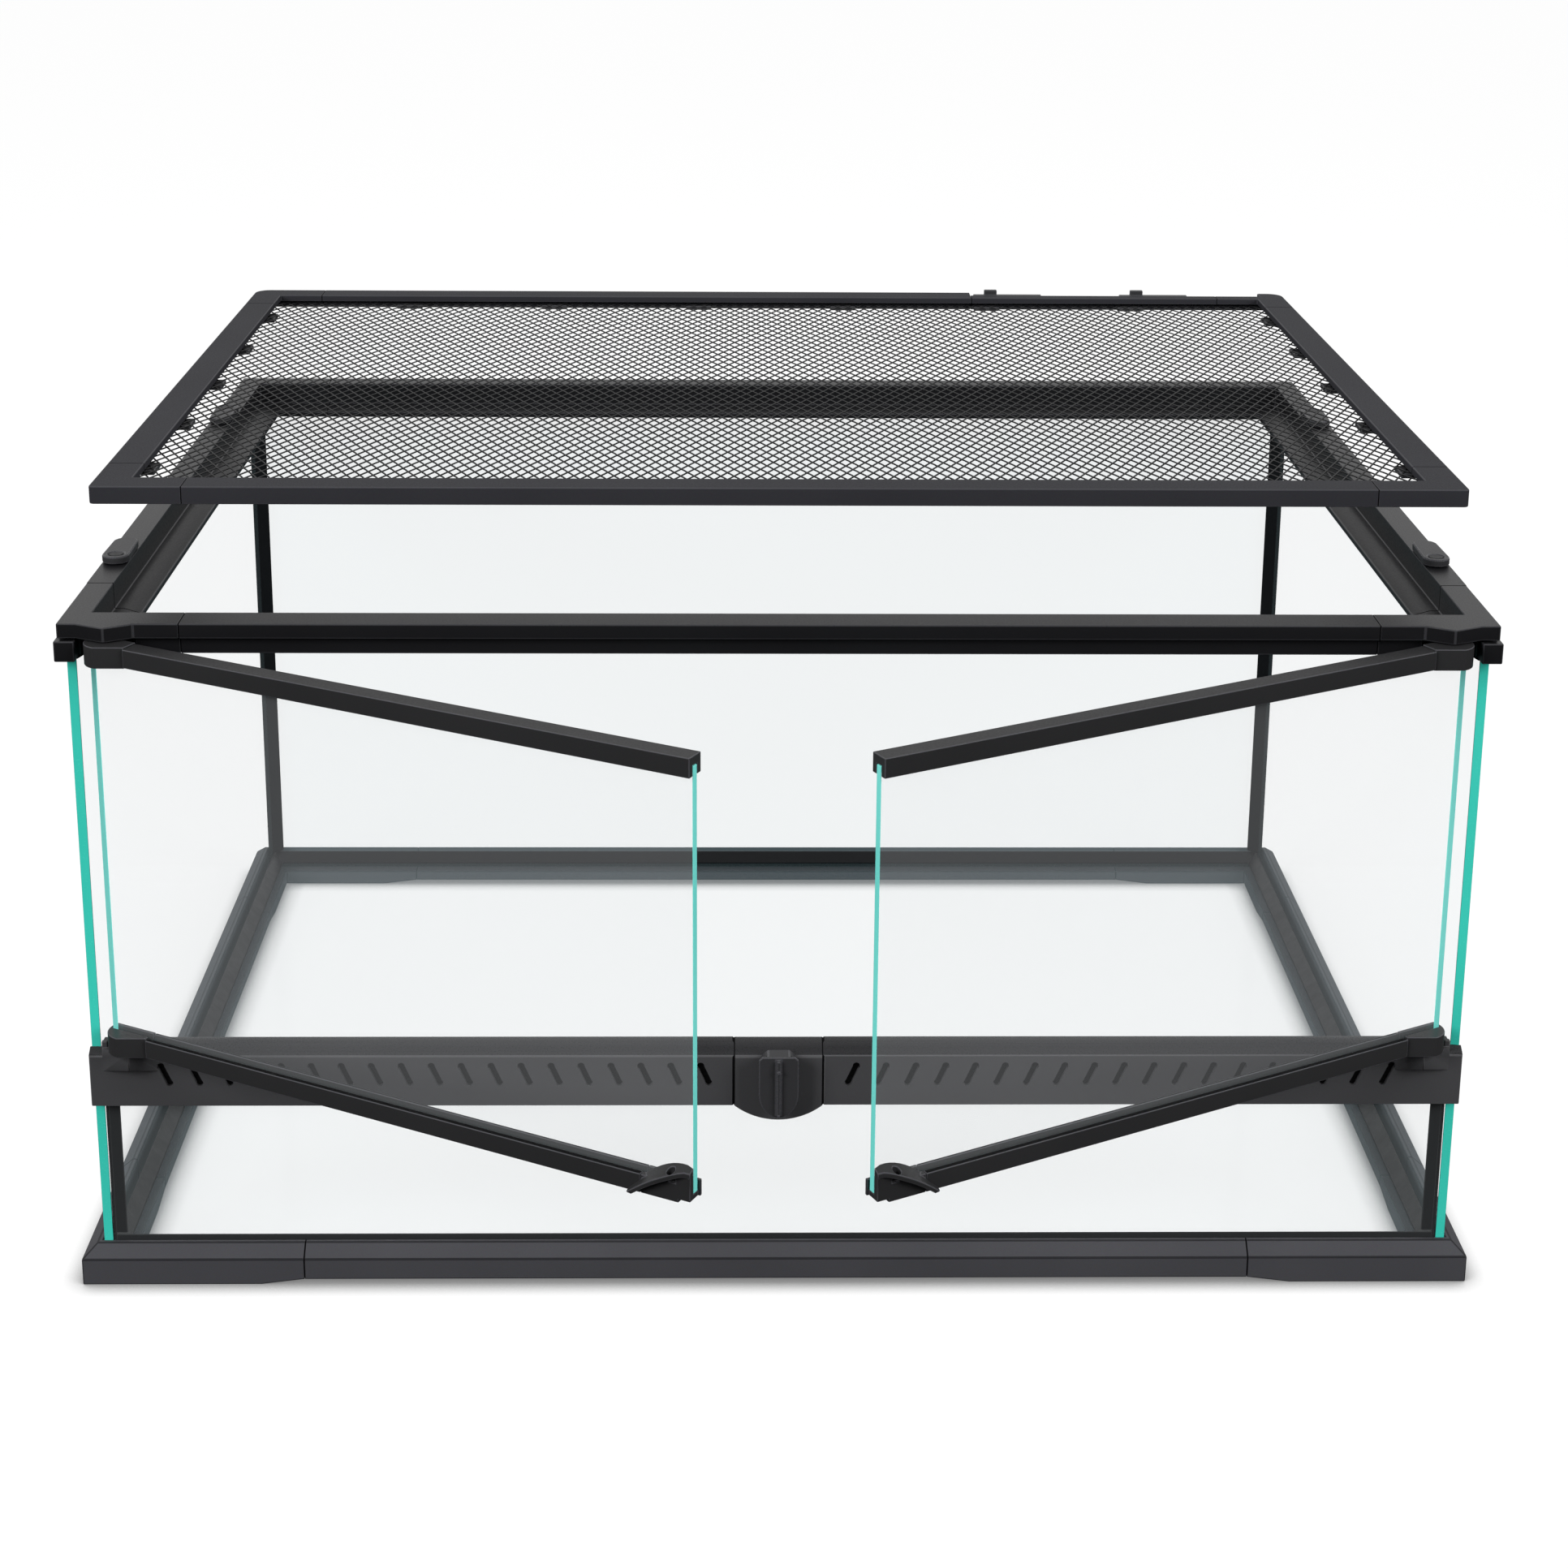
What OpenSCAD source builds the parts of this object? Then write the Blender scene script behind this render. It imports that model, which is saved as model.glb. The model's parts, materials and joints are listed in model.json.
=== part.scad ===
// Glass reptile terrarium: framed tank, two hinged front doors, vent strip with
// a turn-button lock, and a mesh lid that lifts out of the top frame.
// Millimetres. Origin: centre of the tank on the table, front towards -Y, +Z up.

/* [Tank] */
// Width over the outer faces of the side panes
tank_w = 594; // [560:1:700]
// Depth over the outer faces of the front and rear panes
tank_d = 446; // [400:1:560]
// Height from the table to the top of the frame
tank_h = 304.5; // [270:0.5:420]
// Height of the fixed front pane's upper edge
front_pane_top = 90; // [60:1:110]

/* [Glass] */
// Thickness of the fixed panes
pane_t = 4; // [3:0.5:5]
// Thickness of the door panes
door_pane_t = 3; // [2.5:0.5:4]
// Clearance between a pane and the groove that holds it
glass_gap = 0.3; // [0.2:0.05:0.4]
// Leg of the silicone beads along the inner corners
seal_w = 6; // [4:0.5:8]

/* [Base frame] */
// How far the base stands out past the panes
base_over = 8.5; // [7:0.5:12]
// Height of the upright outer face
base_face_h = 12.3; // [9:0.1:15]
// Height of the base at the panes
base_h = 17.5; // [16:0.5:24]
// Width of the flat lip between the bevel and the panes
base_lip = 2.2; // [1.5:0.1:3]
// Height of the groove floor that the panes stand on
groove_z = 6; // [4:0.5:7]
// Height of the ledge that the floor pane lies on
ledge_z = 8; // [7.5:0.5:10]
// Width of the ledge inside the panes
ledge_w = 8; // [6:0.5:12]
// Length of a corner foot along the front or the rear
foot_front = 97.3; // [60:0.1:120]
// Length of a corner foot along a side
foot_side = 80; // [60:1:120]
// Length of the slope where a foot runs out into the rail
foot_ramp = 18.8; // [10:0.1:30]
// How far the rails between the feet stay off the table
rail_lift = 2.4; // [1.5:0.1:4]

/* [Top frame] */
// How far the top frame stands out past the side and rear panes
frame_over = 2.5; // [2:0.1:4]
// How far the front of the frame stands out past the front pane
front_over = 5; // [4:0.5:8]
// Height of the frame's sides and rear
frame_h = 16.5; // [15.5:0.5:24]
// Height of the front rail
front_rail_h = 14; // [13.5:0.5:20]
// Thickness of the frame over the panes' upper edges
pane_cover = 5.5; // [4.5:0.5:8]
// How far the lower band stands out of the sides
band_out = 1.4; // [1:0.1:2.5]
// Height of the lower band
band_h = 9; // [7:0.5:10]
// Width of the flat land on the sides
side_land = 11.5; // [11:0.5:16]
// Width of the flat land at the front
front_land = 16; // [14:0.5:22]
// Width of the flat land at the rear
rear_land = 14; // [11:0.5:18]
// Depth of the recess that takes the lid
recess_depth = 11.5; // [11:0.5:12.5]
// Width of the flat part of the shelf under the lid
shelf_flat = 4; // [3:0.5:6]
// Full width of the shelf under the lid
shelf_w = 11.5; // [9:0.5:16]
// Drop of the shelf's edge at the sides and rear
shelf_drop = 2.2; // [1:0.1:3]
// Drop of the shelf's edge at the front
front_shelf_drop = 1; // [0.5:0.1:1.5]
// Height of the front rail's upper face
front_face_h = 6.5; // [5.5:0.5:8]
// How far the strip under the upper face is set back
strip_back = 3.5; // [3:0.1:4]
// Length of a corner piece along the front or the rear
corner_front = 50.2; // [45:0.1:80]
// Length of a corner piece along a side, from the frame's outer face
corner_side = 57; // [45:1:80]
// Gap between two mouldings that meet end to end
joint_gap = 0.2; // [0.1:0.05:0.3]
// How far the block at each front end stands out of the front face
block_out = 1; // [0.5:0.1:2]
// Clearance round the hinge caps
cap_clear = 0.6; // [0.4:0.1:1]
// Width of the frame's wall left beside a hinge cap's room
cap_wall = 2.5; // [2:0.1:4]

/* [Doors] */
// Distance of the hinge axis from a side pane's outer face
hinge_inset = 18.5; // [17.5:0.5:24]
// Distance of the hinge axis in front of the front pane
hinge_out = 7; // [6.5:0.1:8]
// Angle that the doors stand open at
door_open = 28; // [0:1:70]
// Gap between the closed doors
door_gap = 3; // [2.4:0.1:6]
// Thickness of the door rails
rail_t = 9; // [8.5:0.1:9.5]
// Height of a door's top rail
top_rail_h = 8; // [7:0.5:12]
// Height of a door's bottom rail at the front
bottom_rail_h = 8; // [7.5:0.1:12]
// Height of the bottom rail's thin leg behind the glass
back_leg_h = 8.4; // [7.5:0.1:12]
// Thickness of the leg behind the glass
back_leg_t = 1.4; // [1.2:0.1:2.4]
// Depth that a top rail grips the glass
top_grip = 4; // [3:0.5:5]
// Thickness of a bottom rail under the glass
rail_floor = 3.8; // [3.7:0.1:5]
// Play of a hinge cap above and below
cap_play = 0.4; // [0.3:0.1:0.6]
// How far a hinge cap stands past the rail's edges
cap_step = 0.6; // [0.4:0.1:1]
// Radius of a hinge cap about its pin
cap_r = 9.4; // [9.2:0.1:9.6]
// Distance of a hinge cap's flat front from the pin's axis
cap_face = 8.5; // [7.5:0.1:9]
// Distance from the pin's axis to the start of the rails
rail_start = 11.7; // [11:0.1:16]
// How far the door glass runs past the pin's axis
glass_past_pin = 8; // [6:0.5:8.5]
// Radius of the hinge pins
pin_r = 1.6; // [1.2:0.1:2]
// Radial play of the hinge pins and of the lock pin
pin_fit = 0.08; // [0.05:0.01:0.1]
// Depth that a pin stands in a hinge cap
pin_reach = 3; // [2.4:0.1:3.2]
// Depth that a pin is seated in the frame or the vent strip
pin_seat = 4; // [3:0.5:5]
// Radial allowance of the holes that pins and screws are seated in
seat_fit = 0.03; // [0.02:0.01:0.05]
// How far the hinge bumps stand out of the face behind them
bump_out = 6; // [5.5:0.1:8]
// How far a bump's apex lies outwards of the hinge axis
bump_apex = 0.5; // [0:0.1:3]
// Length of a finger pull's body from the glass's free edge
pull_len = 22; // [18:0.5:30]
// Height of a finger pull
pull_h = 16; // [13:0.5:20]
// Length of the pull's tail along the rail past its body
pull_tail = 5.5; // [3:0.5:10]
// How far the pull's visor stands out of the rail
pull_out = 4; // [2:0.1:5]
// How far the end of the tail stands out of the rail
tail_out = 2.2; // [1:0.1:3]
// Height of the tail's end
tail_h = 2.4; // [1.5:0.1:4]
// Thickness of the visor
visor_t = 2.2; // [1.5:0.1:3]
// Forward tilt of the visor
visor_tilt = 26; // [5:1:30]
// Distance of the pull's highest point from the free edge
pull_crown = 3.4; // [2:0.2:8]
// Drop of the pull's top at the free edge
pull_corner = 1.2; // [0.5:0.1:3]
// Height of the step under the pull's free end
pull_step = 1.4; // [0.5:0.1:2]
// Length of that step
pull_step_len = 5.2; // [3:0.1:8]
// How far the pull's rear leg wraps past the glass
pull_wrap = 1; // [0.5:0.1:1]
// Radius of the blind hole in the pull's top
pull_hole_r = 1.75; // [1:0.05:2]
// Distance of that hole from the free edge
pull_hole_in = 8; // [6:0.5:12]
// Height of that hole's floor above the rail's underside
pull_hole_z = 8; // [4:0.5:10]

/* [Vent strip] */
// How far the vent strip stands out past the front pane
vent_out = 5; // [4.5:0.1:5.5]
// Wall thickness of the vent strip
vent_wall = 2.2; // [1.6:0.1:3]
// How far the strip reaches down over the front pane
vent_drop = 5; // [4:0.5:8]
// Height of the upright face above the front pane
vent_face = 18.5; // [17:0.1:24]
// Rise of the curved flange above the upright face
vent_flange = 4.1; // [3:0.1:6]
// How far the flange reaches back behind the front pane's face
vent_back = 6; // [5:0.5:8]
// Number of slots in each half
slot_count = 19; // [8:1:22]
// Distance of the first slot from the middle of the tank
slot_first = 32; // [28:1:40]
// Distance of the last slot from the strip's outer end
slot_last = 32.5; // [31:0.5:44]
// Width of a slot
slot_w = 3.1; // [2:0.1:4.5]
// Height of a slot
slot_h = 11.1; // [8:0.1:12]
// Slant of a slot from its foot to its head
slot_slant = 3.5; // [0:0.1:5]
// Thickness of the screen behind the slots
screen_t = 1.2; // [0.6:0.1:1.5]
// Height of a slot's foot above the front pane
slot_up = 4.3; // [3:0.1:5]
// Thickness of the flange's rear edge
lip_t = 1.6; // [1.2:0.1:2]
// Length of the flange's flat rear edge
lip_w = 2; // [1:0.1:3]
// Thickness of the leg behind the front pane
leg_t = 3; // [2:0.1:4]
// Height of that leg below the front pane's upper edge
leg_h = 4; // [3:0.5:6]
// Thickness of the web over the front pane
web_t = 2; // [1.5:0.1:2.5]
// How far the strip's face runs out past the side panes
strip_over = 0.5; // [0:0.1:1.5]
// Height of a hinge bracket's full section
bracket_h = 7.8; // [6:0.1:10]
// Height of the chamfer under a bracket
bracket_chamfer = 3; // [1:0.5:5]
// Width of the stop beside a lower hinge cap
spur_w = 2.5; // [1.5:0.1:3]
// Height of that stop above the cap's underside
spur_h = 2.6; // [1:0.1:5]

/* [Lock] */
// Width of the lock housing
housing_w = 38.8; // [34:0.2:46]
// How far the housing stands out of the vent strip
housing_out = 0.5; // [0.3:0.1:1]
// Drop of the housing's rounded belly
belly_drop = 7; // [4:0.5:10]
// Height of the turn button's pivot above the front pane
pivot_up = 14; // [13:0.1:14]
// Width of the turn button
knob_w = 17.2; // [14:0.2:17.6]
// Reach of the button above its pivot
knob_up = 8; // [6.5:0.1:8.2]
// Reach of the button's tail below its pivot
knob_tail = 20.6; // [16:0.1:24]
// Radius of the button's round neck
neck_r = 9.2; // [6:0.1:9.2]
// Thickness of the button's front plate
plate_t = 1.6; // [1.4:0.1:3.5]
// Width of the rib on the button
rib_w = 2.3; // [1.5:0.1:3]
// How far the rib stands out of the button
rib_out = 1.8; // [1:0.1:4]
// Radius of the lock pin
lock_pin_r = 1.5; // [1.2:0.1:2]
// Play between the button and the parts behind it
lock_play = 0.3; // [0.25:0.05:0.4]
// Depth that the lock pin is seated in the button
lock_pin_seat = 4.5; // [2:0.1:5]
// Radius of the lock pin's retaining head
retainer_r = 3; // [2.5:0.1:4]
// Thickness of the lock pin's retaining head
retainer_t = 1.2; // [0.8:0.1:1.5]
// Corner cut of the button's head
knob_corner = 1.5; // [0.5:0.1:3]
// Length of the straight sides below the button's pivot
knob_straight = 9.3; // [4:0.1:12]
// Distance of the rib's ends from the button's ends
rib_end = 1.2; // [0.5:0.1:3]

/* [Swing locks] */
// Radius of a swing lock about its pivot
lock_r = 6; // [5.5:0.1:6]
// Radius of a swing lock's free end
lock_end_r = 5.5; // [4:0.1:5.5]
// Length of a swing lock from its pivot to its free end
lock_reach = 26; // [22:1:34]
// Thickness of a swing lock
lock_t = 3.6; // [3:0.1:5]
// How far a swing lock overhangs the lid's recess
lock_overhang = 0.5; // [0:0.1:0.6]
// Distance of the front pair from the frame's front face
lock_front = 89; // [70:1:120]
// Distance of the rear pair from the frame's rear face
lock_rear = 86.5; // [70:0.5:120]
// Radius of the swing lock screws
screw_r = 1.6; // [1.2:0.1:2]
// Radius of the screw heads
screw_head_r = 3.2; // [2.6:0.1:3.5]
// Height of the screw heads
screw_head_h = 1.3; // [1:0.1:1.6]
// Depth of the screw heads below the swing locks' tops
screw_sunk = 0.2; // [0.1:0.1:0.5]
// Clearance round the screw heads
head_gap = 0.3; // [0.2:0.05:0.4]
// Depth that the screws stand in the frame
screw_seat = 4; // [3:0.5:5]
// Play between a swing lock and the frame under it
lock_rise = 0.3; // [0.2:0.05:0.5]

/* [Lid] */
// Gap between the lid and its recess
lid_gap = 1.1; // [0.8:0.1:1.6]
// Play between the lowered lid and the shelf
lid_seat = 0.3; // [0.2:0.05:0.5]
// Height that the lid is lifted by
lid_lift = 57.6; // [20:0.1:90]
// Height of the lid's frame
lid_h = 7.6; // [7:0.1:8]
// Width of the lid's frame
lid_w = 15.4; // [14.5:0.1:20]
// Width of the rebate under the frame's inner edge
rebate_w = 5; // [4:0.1:5]
// Depth of that rebate
rebate_h = 4.2; // [4:0.1:4.6]
// Length of the lid's corner pieces
lid_corner = 38; // [30:1:60]
// Radius of the lid's rear corners
lid_rear_r = 8; // [4:0.5:9]
// Radius of the lid's front corners
lid_front_r = 2; // [1:0.5:4]
// Thickness of the mesh panel
mesh_t = 1.2; // [0.8:0.1:1.4]
// Number of diamonds across the mesh panel
mesh_columns = 12; // [8:1:12]
// Number of diamonds from the panel's front to its rear
mesh_rows = 4; // [3:1:6]
// Width of the strands between the diamonds
mesh_strand = 2.4; // [1.6:0.1:4]
// Width of the panel's closed edge
mesh_rim = 4; // [3:0.5:8]
// Length of a mesh clip along the frame
clip_len = 14; // [8:1:20]
// Thickness of a mesh clip
clip_t = 2.2; // [1.2:0.1:2.5]
// How far a clip reaches past the frame's inner edge
clip_reach = 3; // [2:0.1:5]
// Spacing of the mesh clips
clip_pitch = 80; // [60:1:100]

/* [Inlet] */
// Length of the rail that carries the cable inlets
inlet_len = 137; // [120:1:160]
// Depth of the notch in that rail's outer edge
notch_w = 8; // [7:0.1:8.5]
// Thickness of the rail's floor in the notch
notch_floor = 3; // [2:0.1:3.2]
// Distance of the notch's end from the lid's side
notch_end = 13; // [10:0.5:20]
// Length of an inlet slider
slider_len = 38; // [30:0.5:38]
// Travel of an inlet slider
slider_travel = 38; // [20:0.5:38]
// Play of the sliders in the notch
slider_play = 0.3; // [0.2:0.05:0.4]
// Thickness of an inlet slider
slider_t = 3.5; // [3:0.1:4]
// Gap between a slider's stop and the notch's end
slider_stop = 2; // [1:0.1:3]
// Depth of the groove that guides the sliders
guide_d = 1.2; // [0.8:0.1:1.4]
// Height of that groove
guide_h = 2; // [1.5:0.1:2.2]
// Wall left at the ends of an inlet's hole
inlet_wall = 2; // [1.5:0.1:4]
// Wall left along the sides of an inlet's hole
inlet_side = 1.2; // [0.8:0.1:1.4]
// Height of the guide groove above the notch's floor
guide_up = 1; // [0.8:0.1:1.2]
// Distance of a slider's nub from its end
nub_x = 9.5; // [5:0.5:20]
// Width of a nub
nub_w = 7; // [4:0.5:9]
// Height of a nub
nub_h = 2.7; // [1.5:0.1:4]
// Depth of a nub
nub_d = 3; // [2:0.1:5]

/* [Hidden] */
$fn = 48;

black = "#2b2c30";
frame_grey = "#3f4043";
base_grey = "#464649";
glass_green = "#b9ded8";

// Glass
side_x = tank_w / 2;
front_y = -tank_d / 2;
rear_y = tank_d / 2;
inner_x = side_x - pane_t;
floor_top = ledge_z + pane_t;

// Base frame
base_x = side_x + base_over;
base_y = rear_y + base_over;
groove_out = base_over - glass_gap;
groove_in = base_over + pane_t + glass_gap;
base_w = base_over + pane_t + ledge_w;
base_seam_x = base_x - foot_front;
base_seam_y = base_y - foot_side;

// Top frame
frame_x = side_x + frame_over;
frame_front_y = front_y - front_over;
frame_rear_y = rear_y + frame_over;
frame_z = tank_h - frame_h;
band_top = frame_z + band_h;
shelf_z = tank_h - recess_depth;
face_z = tank_h - front_face_h;
front_rail_z = tank_h - front_rail_h;
pane_top = tank_h - pane_cover;
recess_x = frame_x - side_land;
recess_front_y = frame_front_y + front_land;
recess_rear_y = frame_rear_y - rear_land;
seam_x = frame_x - corner_front;
seam_front_y = frame_front_y + corner_side;
seam_rear_y = frame_rear_y - corner_side;

// Doors
hinge_x = side_x - hinge_inset;
hinge_y = front_y - hinge_out;
door_len = hinge_x - door_gap / 2;
groove_half = door_pane_t / 2 + glass_gap;
vent_z = front_pane_top - vent_drop;
crease_z = front_pane_top + vent_face;
vent_top = crease_z + vent_flange;
upper_cap_top = face_z - cap_play;
lower_cap_z = vent_top + cap_play;
top_rail_top = upper_cap_top - cap_step;
top_rail_z = top_rail_top - top_rail_h;
bottom_rail_z = lower_cap_z + cap_step;
bottom_rail_top = bottom_rail_z + bottom_rail_h;
door_glass_z = bottom_rail_z + rail_floor;
door_glass_top = top_rail_z + top_grip;
pull_reach = pull_len + pull_tail;
pull_steps = 12;
cap_room = cap_r + cap_clear;
bump_in = cap_r + 2 * cap_clear;
bump_side = bump_in + cap_wall;
end_block_x = hinge_x + bump_side + cap_clear;

// Vent strip and lock
strip_end = side_x + strip_over;
strip_in = inner_x - glass_gap;
slot_z = front_pane_top + slot_up;
web_top = front_pane_top + glass_gap + web_t;
leg_z = front_pane_top - leg_h;
slot_pitch = (strip_end - slot_last - slot_first) / (slot_count - 1);
pivot_z = front_pane_top + pivot_up;
housing_y = front_y - vent_out - housing_out;
knob_back = housing_y - lock_play;
pull_front = hinge_y - rail_t / 2;
plate_back = pull_front - 2 * lock_play;
knob_front = plate_back - plate_t;
vent_inner_y = front_y - vent_out + vent_wall;

// Swing locks
lock_x = recess_x + lock_r - lock_overhang;
lock_front_y = frame_front_y + lock_front;
lock_rear_y = frame_rear_y - lock_rear;
lock_z = tank_h + lock_rise;
screw_head_z = lock_z + lock_t - screw_sunk - screw_head_h;

// Lid
lid_z = shelf_z + lid_seat + lid_lift;
lid_x = recess_x - lid_gap;
lid_front_y = recess_front_y + lid_gap;
lid_rear_y = recess_rear_y - lid_gap;
lid_mid_y = (lid_front_y + lid_rear_y) / 2;
lid_half_d = (lid_rear_y - lid_front_y) / 2;
lid_seam_x = lid_x - lid_corner;
lid_seam_y = lid_half_d - lid_corner;
mesh_in = lid_w - rebate_w + glass_gap;
mesh_x = lid_x - mesh_in;
mesh_y = lid_half_d - mesh_in;
mesh_z = rebate_h - mesh_t;
clip_side_count = 5;
clip_end_count = 6;

// Inlet
inlet_x = lid_seam_x - inlet_len;
notch_x = lid_x - notch_end;
slider_a_x = inlet_x + slider_stop;
slider_b_x = notch_x - slider_stop - slider_travel - slider_len;
slider_z = notch_floor + slider_play;
guide_z = notch_floor + guide_up;

// ---- Shared shapes ----

// Bar along X from x0 to x1 with a section of [y, z] points
module bar_x(x0, x1, section)
    translate([x0, 0, 0])
        rotate([90, 0, 90])
            linear_extrude(x1 - x0)
                polygon(section);

// Bar along Y from y0 to y1 with a section of [x, z] points
module bar_y(y0, y1, section)
    mirror([1, -1, 0])
        bar_x(y0, y1, section);

// Section of [distance in from an outer face, z] points, placed at that face
function at_face(face, inward, section) = [for (p = section) [face + inward * p[0], p[1]]];

// Corner piece towards -X and -Y: a front leg and a side leg, each as long as the corner reaches
module corner_piece(out_x, out_y, end_x, end_y, front_section, side_section) {
    bar_x(-out_x, -end_x, at_face(-out_y, 1, front_section));
    bar_y(-out_y, -end_y, at_face(-out_x, 1, side_section));
}

// Block between two corners
module block(low, high)
    translate(low)
        cube(high - low);

module both_sides() {
    children();
    mirror([1, 0, 0]) children();
}

// Grooves for the four upright panes between two heights
module pane_grooves(z0, z1) {
    both_sides()
        block([-side_x - glass_gap, front_y - glass_gap, z0], [-inner_x + glass_gap, rear_y + glass_gap, z1]);
    block([-inner_x, rear_y - pane_t - glass_gap, z0], [inner_x, rear_y + glass_gap, z1]);
}

// ---- Base frame ----

// Section without the bevel and the grooves, from the outer face inwards
function base_section(z0) = [
    [0, z0], [0, base_h], [groove_out, base_h], [groove_out, ledge_z], [base_w, ledge_z], [base_w, z0]
];

// What the bevel takes off the outer upper edge
bevel_section = [
    [0, base_face_h], [groove_out - base_lip, base_h], [groove_out - base_lip, base_h + 1],
    [-1, base_h + 1], [-1, base_face_h]
];

// Bevels and pane grooves that are cut out of a front-left piece
module base_cuts() {
    bar_x(-base_x - 1, 1, at_face(-base_y, 1, bevel_section));
    bar_y(-base_y - 1, 1, at_face(-base_x, 1, bevel_section));
    pane_grooves(groove_z, tank_h);
    mirror([0, 1, 0]) pane_grooves(groove_z, tank_h);
}

// Front-left foot: full height at the corner, sloped up to the rails at its ends
module base_foot()
    difference() {
        corner_piece(base_x, base_y, base_seam_x, base_seam_y, base_section(0), base_section(0));
        base_cuts();
        bar_y(-base_y - 1, -base_y + base_w + 1,
            [[-base_seam_x - foot_ramp, 0], [-base_seam_x, -1], [-base_seam_x + 1, -1],
             [-base_seam_x + 1, rail_lift], [-base_seam_x, rail_lift]]);
        bar_x(-base_x - 1, -base_x + base_w + 1,
            [[-base_seam_y - foot_ramp, 0], [-base_seam_y, -1], [-base_seam_y + 1, -1],
             [-base_seam_y + 1, rail_lift], [-base_seam_y, rail_lift]]);
    }

module base_corner_front_left() color(base_grey) base_foot();
module base_corner_front_right() color(base_grey) mirror([1, 0, 0]) base_foot();
module base_corner_rear_left() color(base_grey) mirror([0, 1, 0]) base_foot();
module base_corner_rear_right() color(base_grey) mirror([1, 0, 0]) mirror([0, 1, 0]) base_foot();

module base_end_rail()
    difference() {
        bar_x(-base_seam_x + joint_gap, base_seam_x - joint_gap, at_face(-base_y, 1, base_section(rail_lift)));
        bar_x(-base_x, base_x, at_face(-base_y, 1, bevel_section));
        mirror([0, 1, 0]) pane_grooves(groove_z, tank_h);
    }

module base_side_rail()
    difference() {
        bar_y(-base_seam_y + joint_gap, base_seam_y - joint_gap, at_face(-base_x, 1, base_section(rail_lift)));
        bar_y(-base_y, base_y, at_face(-base_x, 1, bevel_section));
        pane_grooves(groove_z, tank_h);
    }

module base_rail_front() color(base_grey) base_end_rail();
module base_rail_rear() color(base_grey) mirror([0, 1, 0]) base_end_rail();
module base_rail_left() color(base_grey) base_side_rail();
module base_rail_right() color(base_grey) mirror([1, 0, 0]) base_side_rail();

// ---- Glass and silicone ----

module floor_pane()
    color(glass_green)
        block([-inner_x + glass_gap, front_y + pane_t + glass_gap, ledge_z],
            [inner_x - glass_gap, rear_y - pane_t - glass_gap, floor_top]);

module side_pane() block([-side_x, front_y, groove_z], [-inner_x, rear_y, pane_top]);
module left_pane() color(glass_green) side_pane();
module right_pane() color(glass_green) mirror([1, 0, 0]) side_pane();

module rear_pane()
    color(glass_green)
        block([-inner_x + glass_gap, rear_y - pane_t, groove_z], [inner_x - glass_gap, rear_y, pane_top]);

module front_pane()
    color(glass_green)
        block([-inner_x + glass_gap, front_y, groove_z],
            [inner_x - glass_gap, front_y + pane_t, front_pane_top]);

// Upright bead in the corner of a side pane and the pane behind or in front of it
module corner_bead(y, inward, top)
    translate([0, 0, floor_top + seal_w])
        linear_extrude(top - floor_top - seal_w)
            polygon([[-inner_x, y], [-inner_x + seal_w, y], [-inner_x, y + inward * seal_w]]);

module corner_seals()
    color("#1b1c1e")
        both_sides() {
            corner_bead(rear_y - pane_t, -1, frame_z);
            corner_bead(front_y + pane_t, 1, leg_z);
        }

module floor_seal() {
    bead = [[0, floor_top], [seal_w, floor_top], [0, floor_top + seal_w]];
    inner_y = rear_y - pane_t;
    color("#1b1c1e")
        both_sides()
            for (flip = [0, 1])
                mirror([0, flip, 0])
                    corner_piece(inner_x, inner_y, 0, 0, bead, bead);
}

// ---- Vent strip and lock ----

// Section of the strip: a face with a curved flange above and a groove for the pane below
function vent_section(out) = [
    [-out, vent_z], [-out, crease_z],
    for (t = [0:5]) flange_point(t / 5, out, 0),
    [vent_back, vent_top], [vent_back, vent_top - lip_t],
    for (t = [5:-1:0]) flange_point(t / 5, vent_out - vent_wall, lip_t),
    [vent_wall - vent_out, web_top],
    [pane_t + glass_gap + leg_t, web_top],
    [pane_t + glass_gap + leg_t, leg_z],
    [pane_t + glass_gap, leg_z],
    [pane_t + glass_gap, front_pane_top + glass_gap],
    [-glass_gap, front_pane_top + glass_gap], [-glass_gap, vent_z]
];

// Point on the concave sweep from the face's crease to the flange's flat edge
function flange_point(t, out, under) = [
    -out + t * (vent_back - lip_w + out),
    crease_z - 0.8 * under + (vent_flange - 0.2 * under) * sin(90 * t)
];

module vent_slot(x)
    translate([x, front_y - vent_out - 1, slot_z])
        mirror([0, 1, 0])
            rotate([90, 0, 0])
                linear_extrude(vent_wall + 2) {
                    polygon([
                        [slot_slant / 2 - slot_w / 2, slot_w / 2], [slot_slant / 2 + slot_w / 2, slot_w / 2],
                        [slot_w / 2 - slot_slant / 2, slot_h - slot_w / 2],
                        [-slot_w / 2 - slot_slant / 2, slot_h - slot_w / 2]
                    ]);
                    translate([slot_slant / 2, slot_w / 2]) circle(d = slot_w, $fn = 24);
                    translate([-slot_slant / 2, slot_h - slot_w / 2]) circle(d = slot_w, $fn = 24);
                }

// Bump in front of the hinge axis, seen from above
module bump_plan(face_y)
    polygon([
        [-hinge_x - bump_side, face_y + 1], [-hinge_x - bump_side, face_y],
        [-hinge_x - bump_apex, face_y - bump_out], [-hinge_x + bump_in, face_y],
        [-hinge_x + bump_in, face_y + 1]
    ]);

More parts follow.
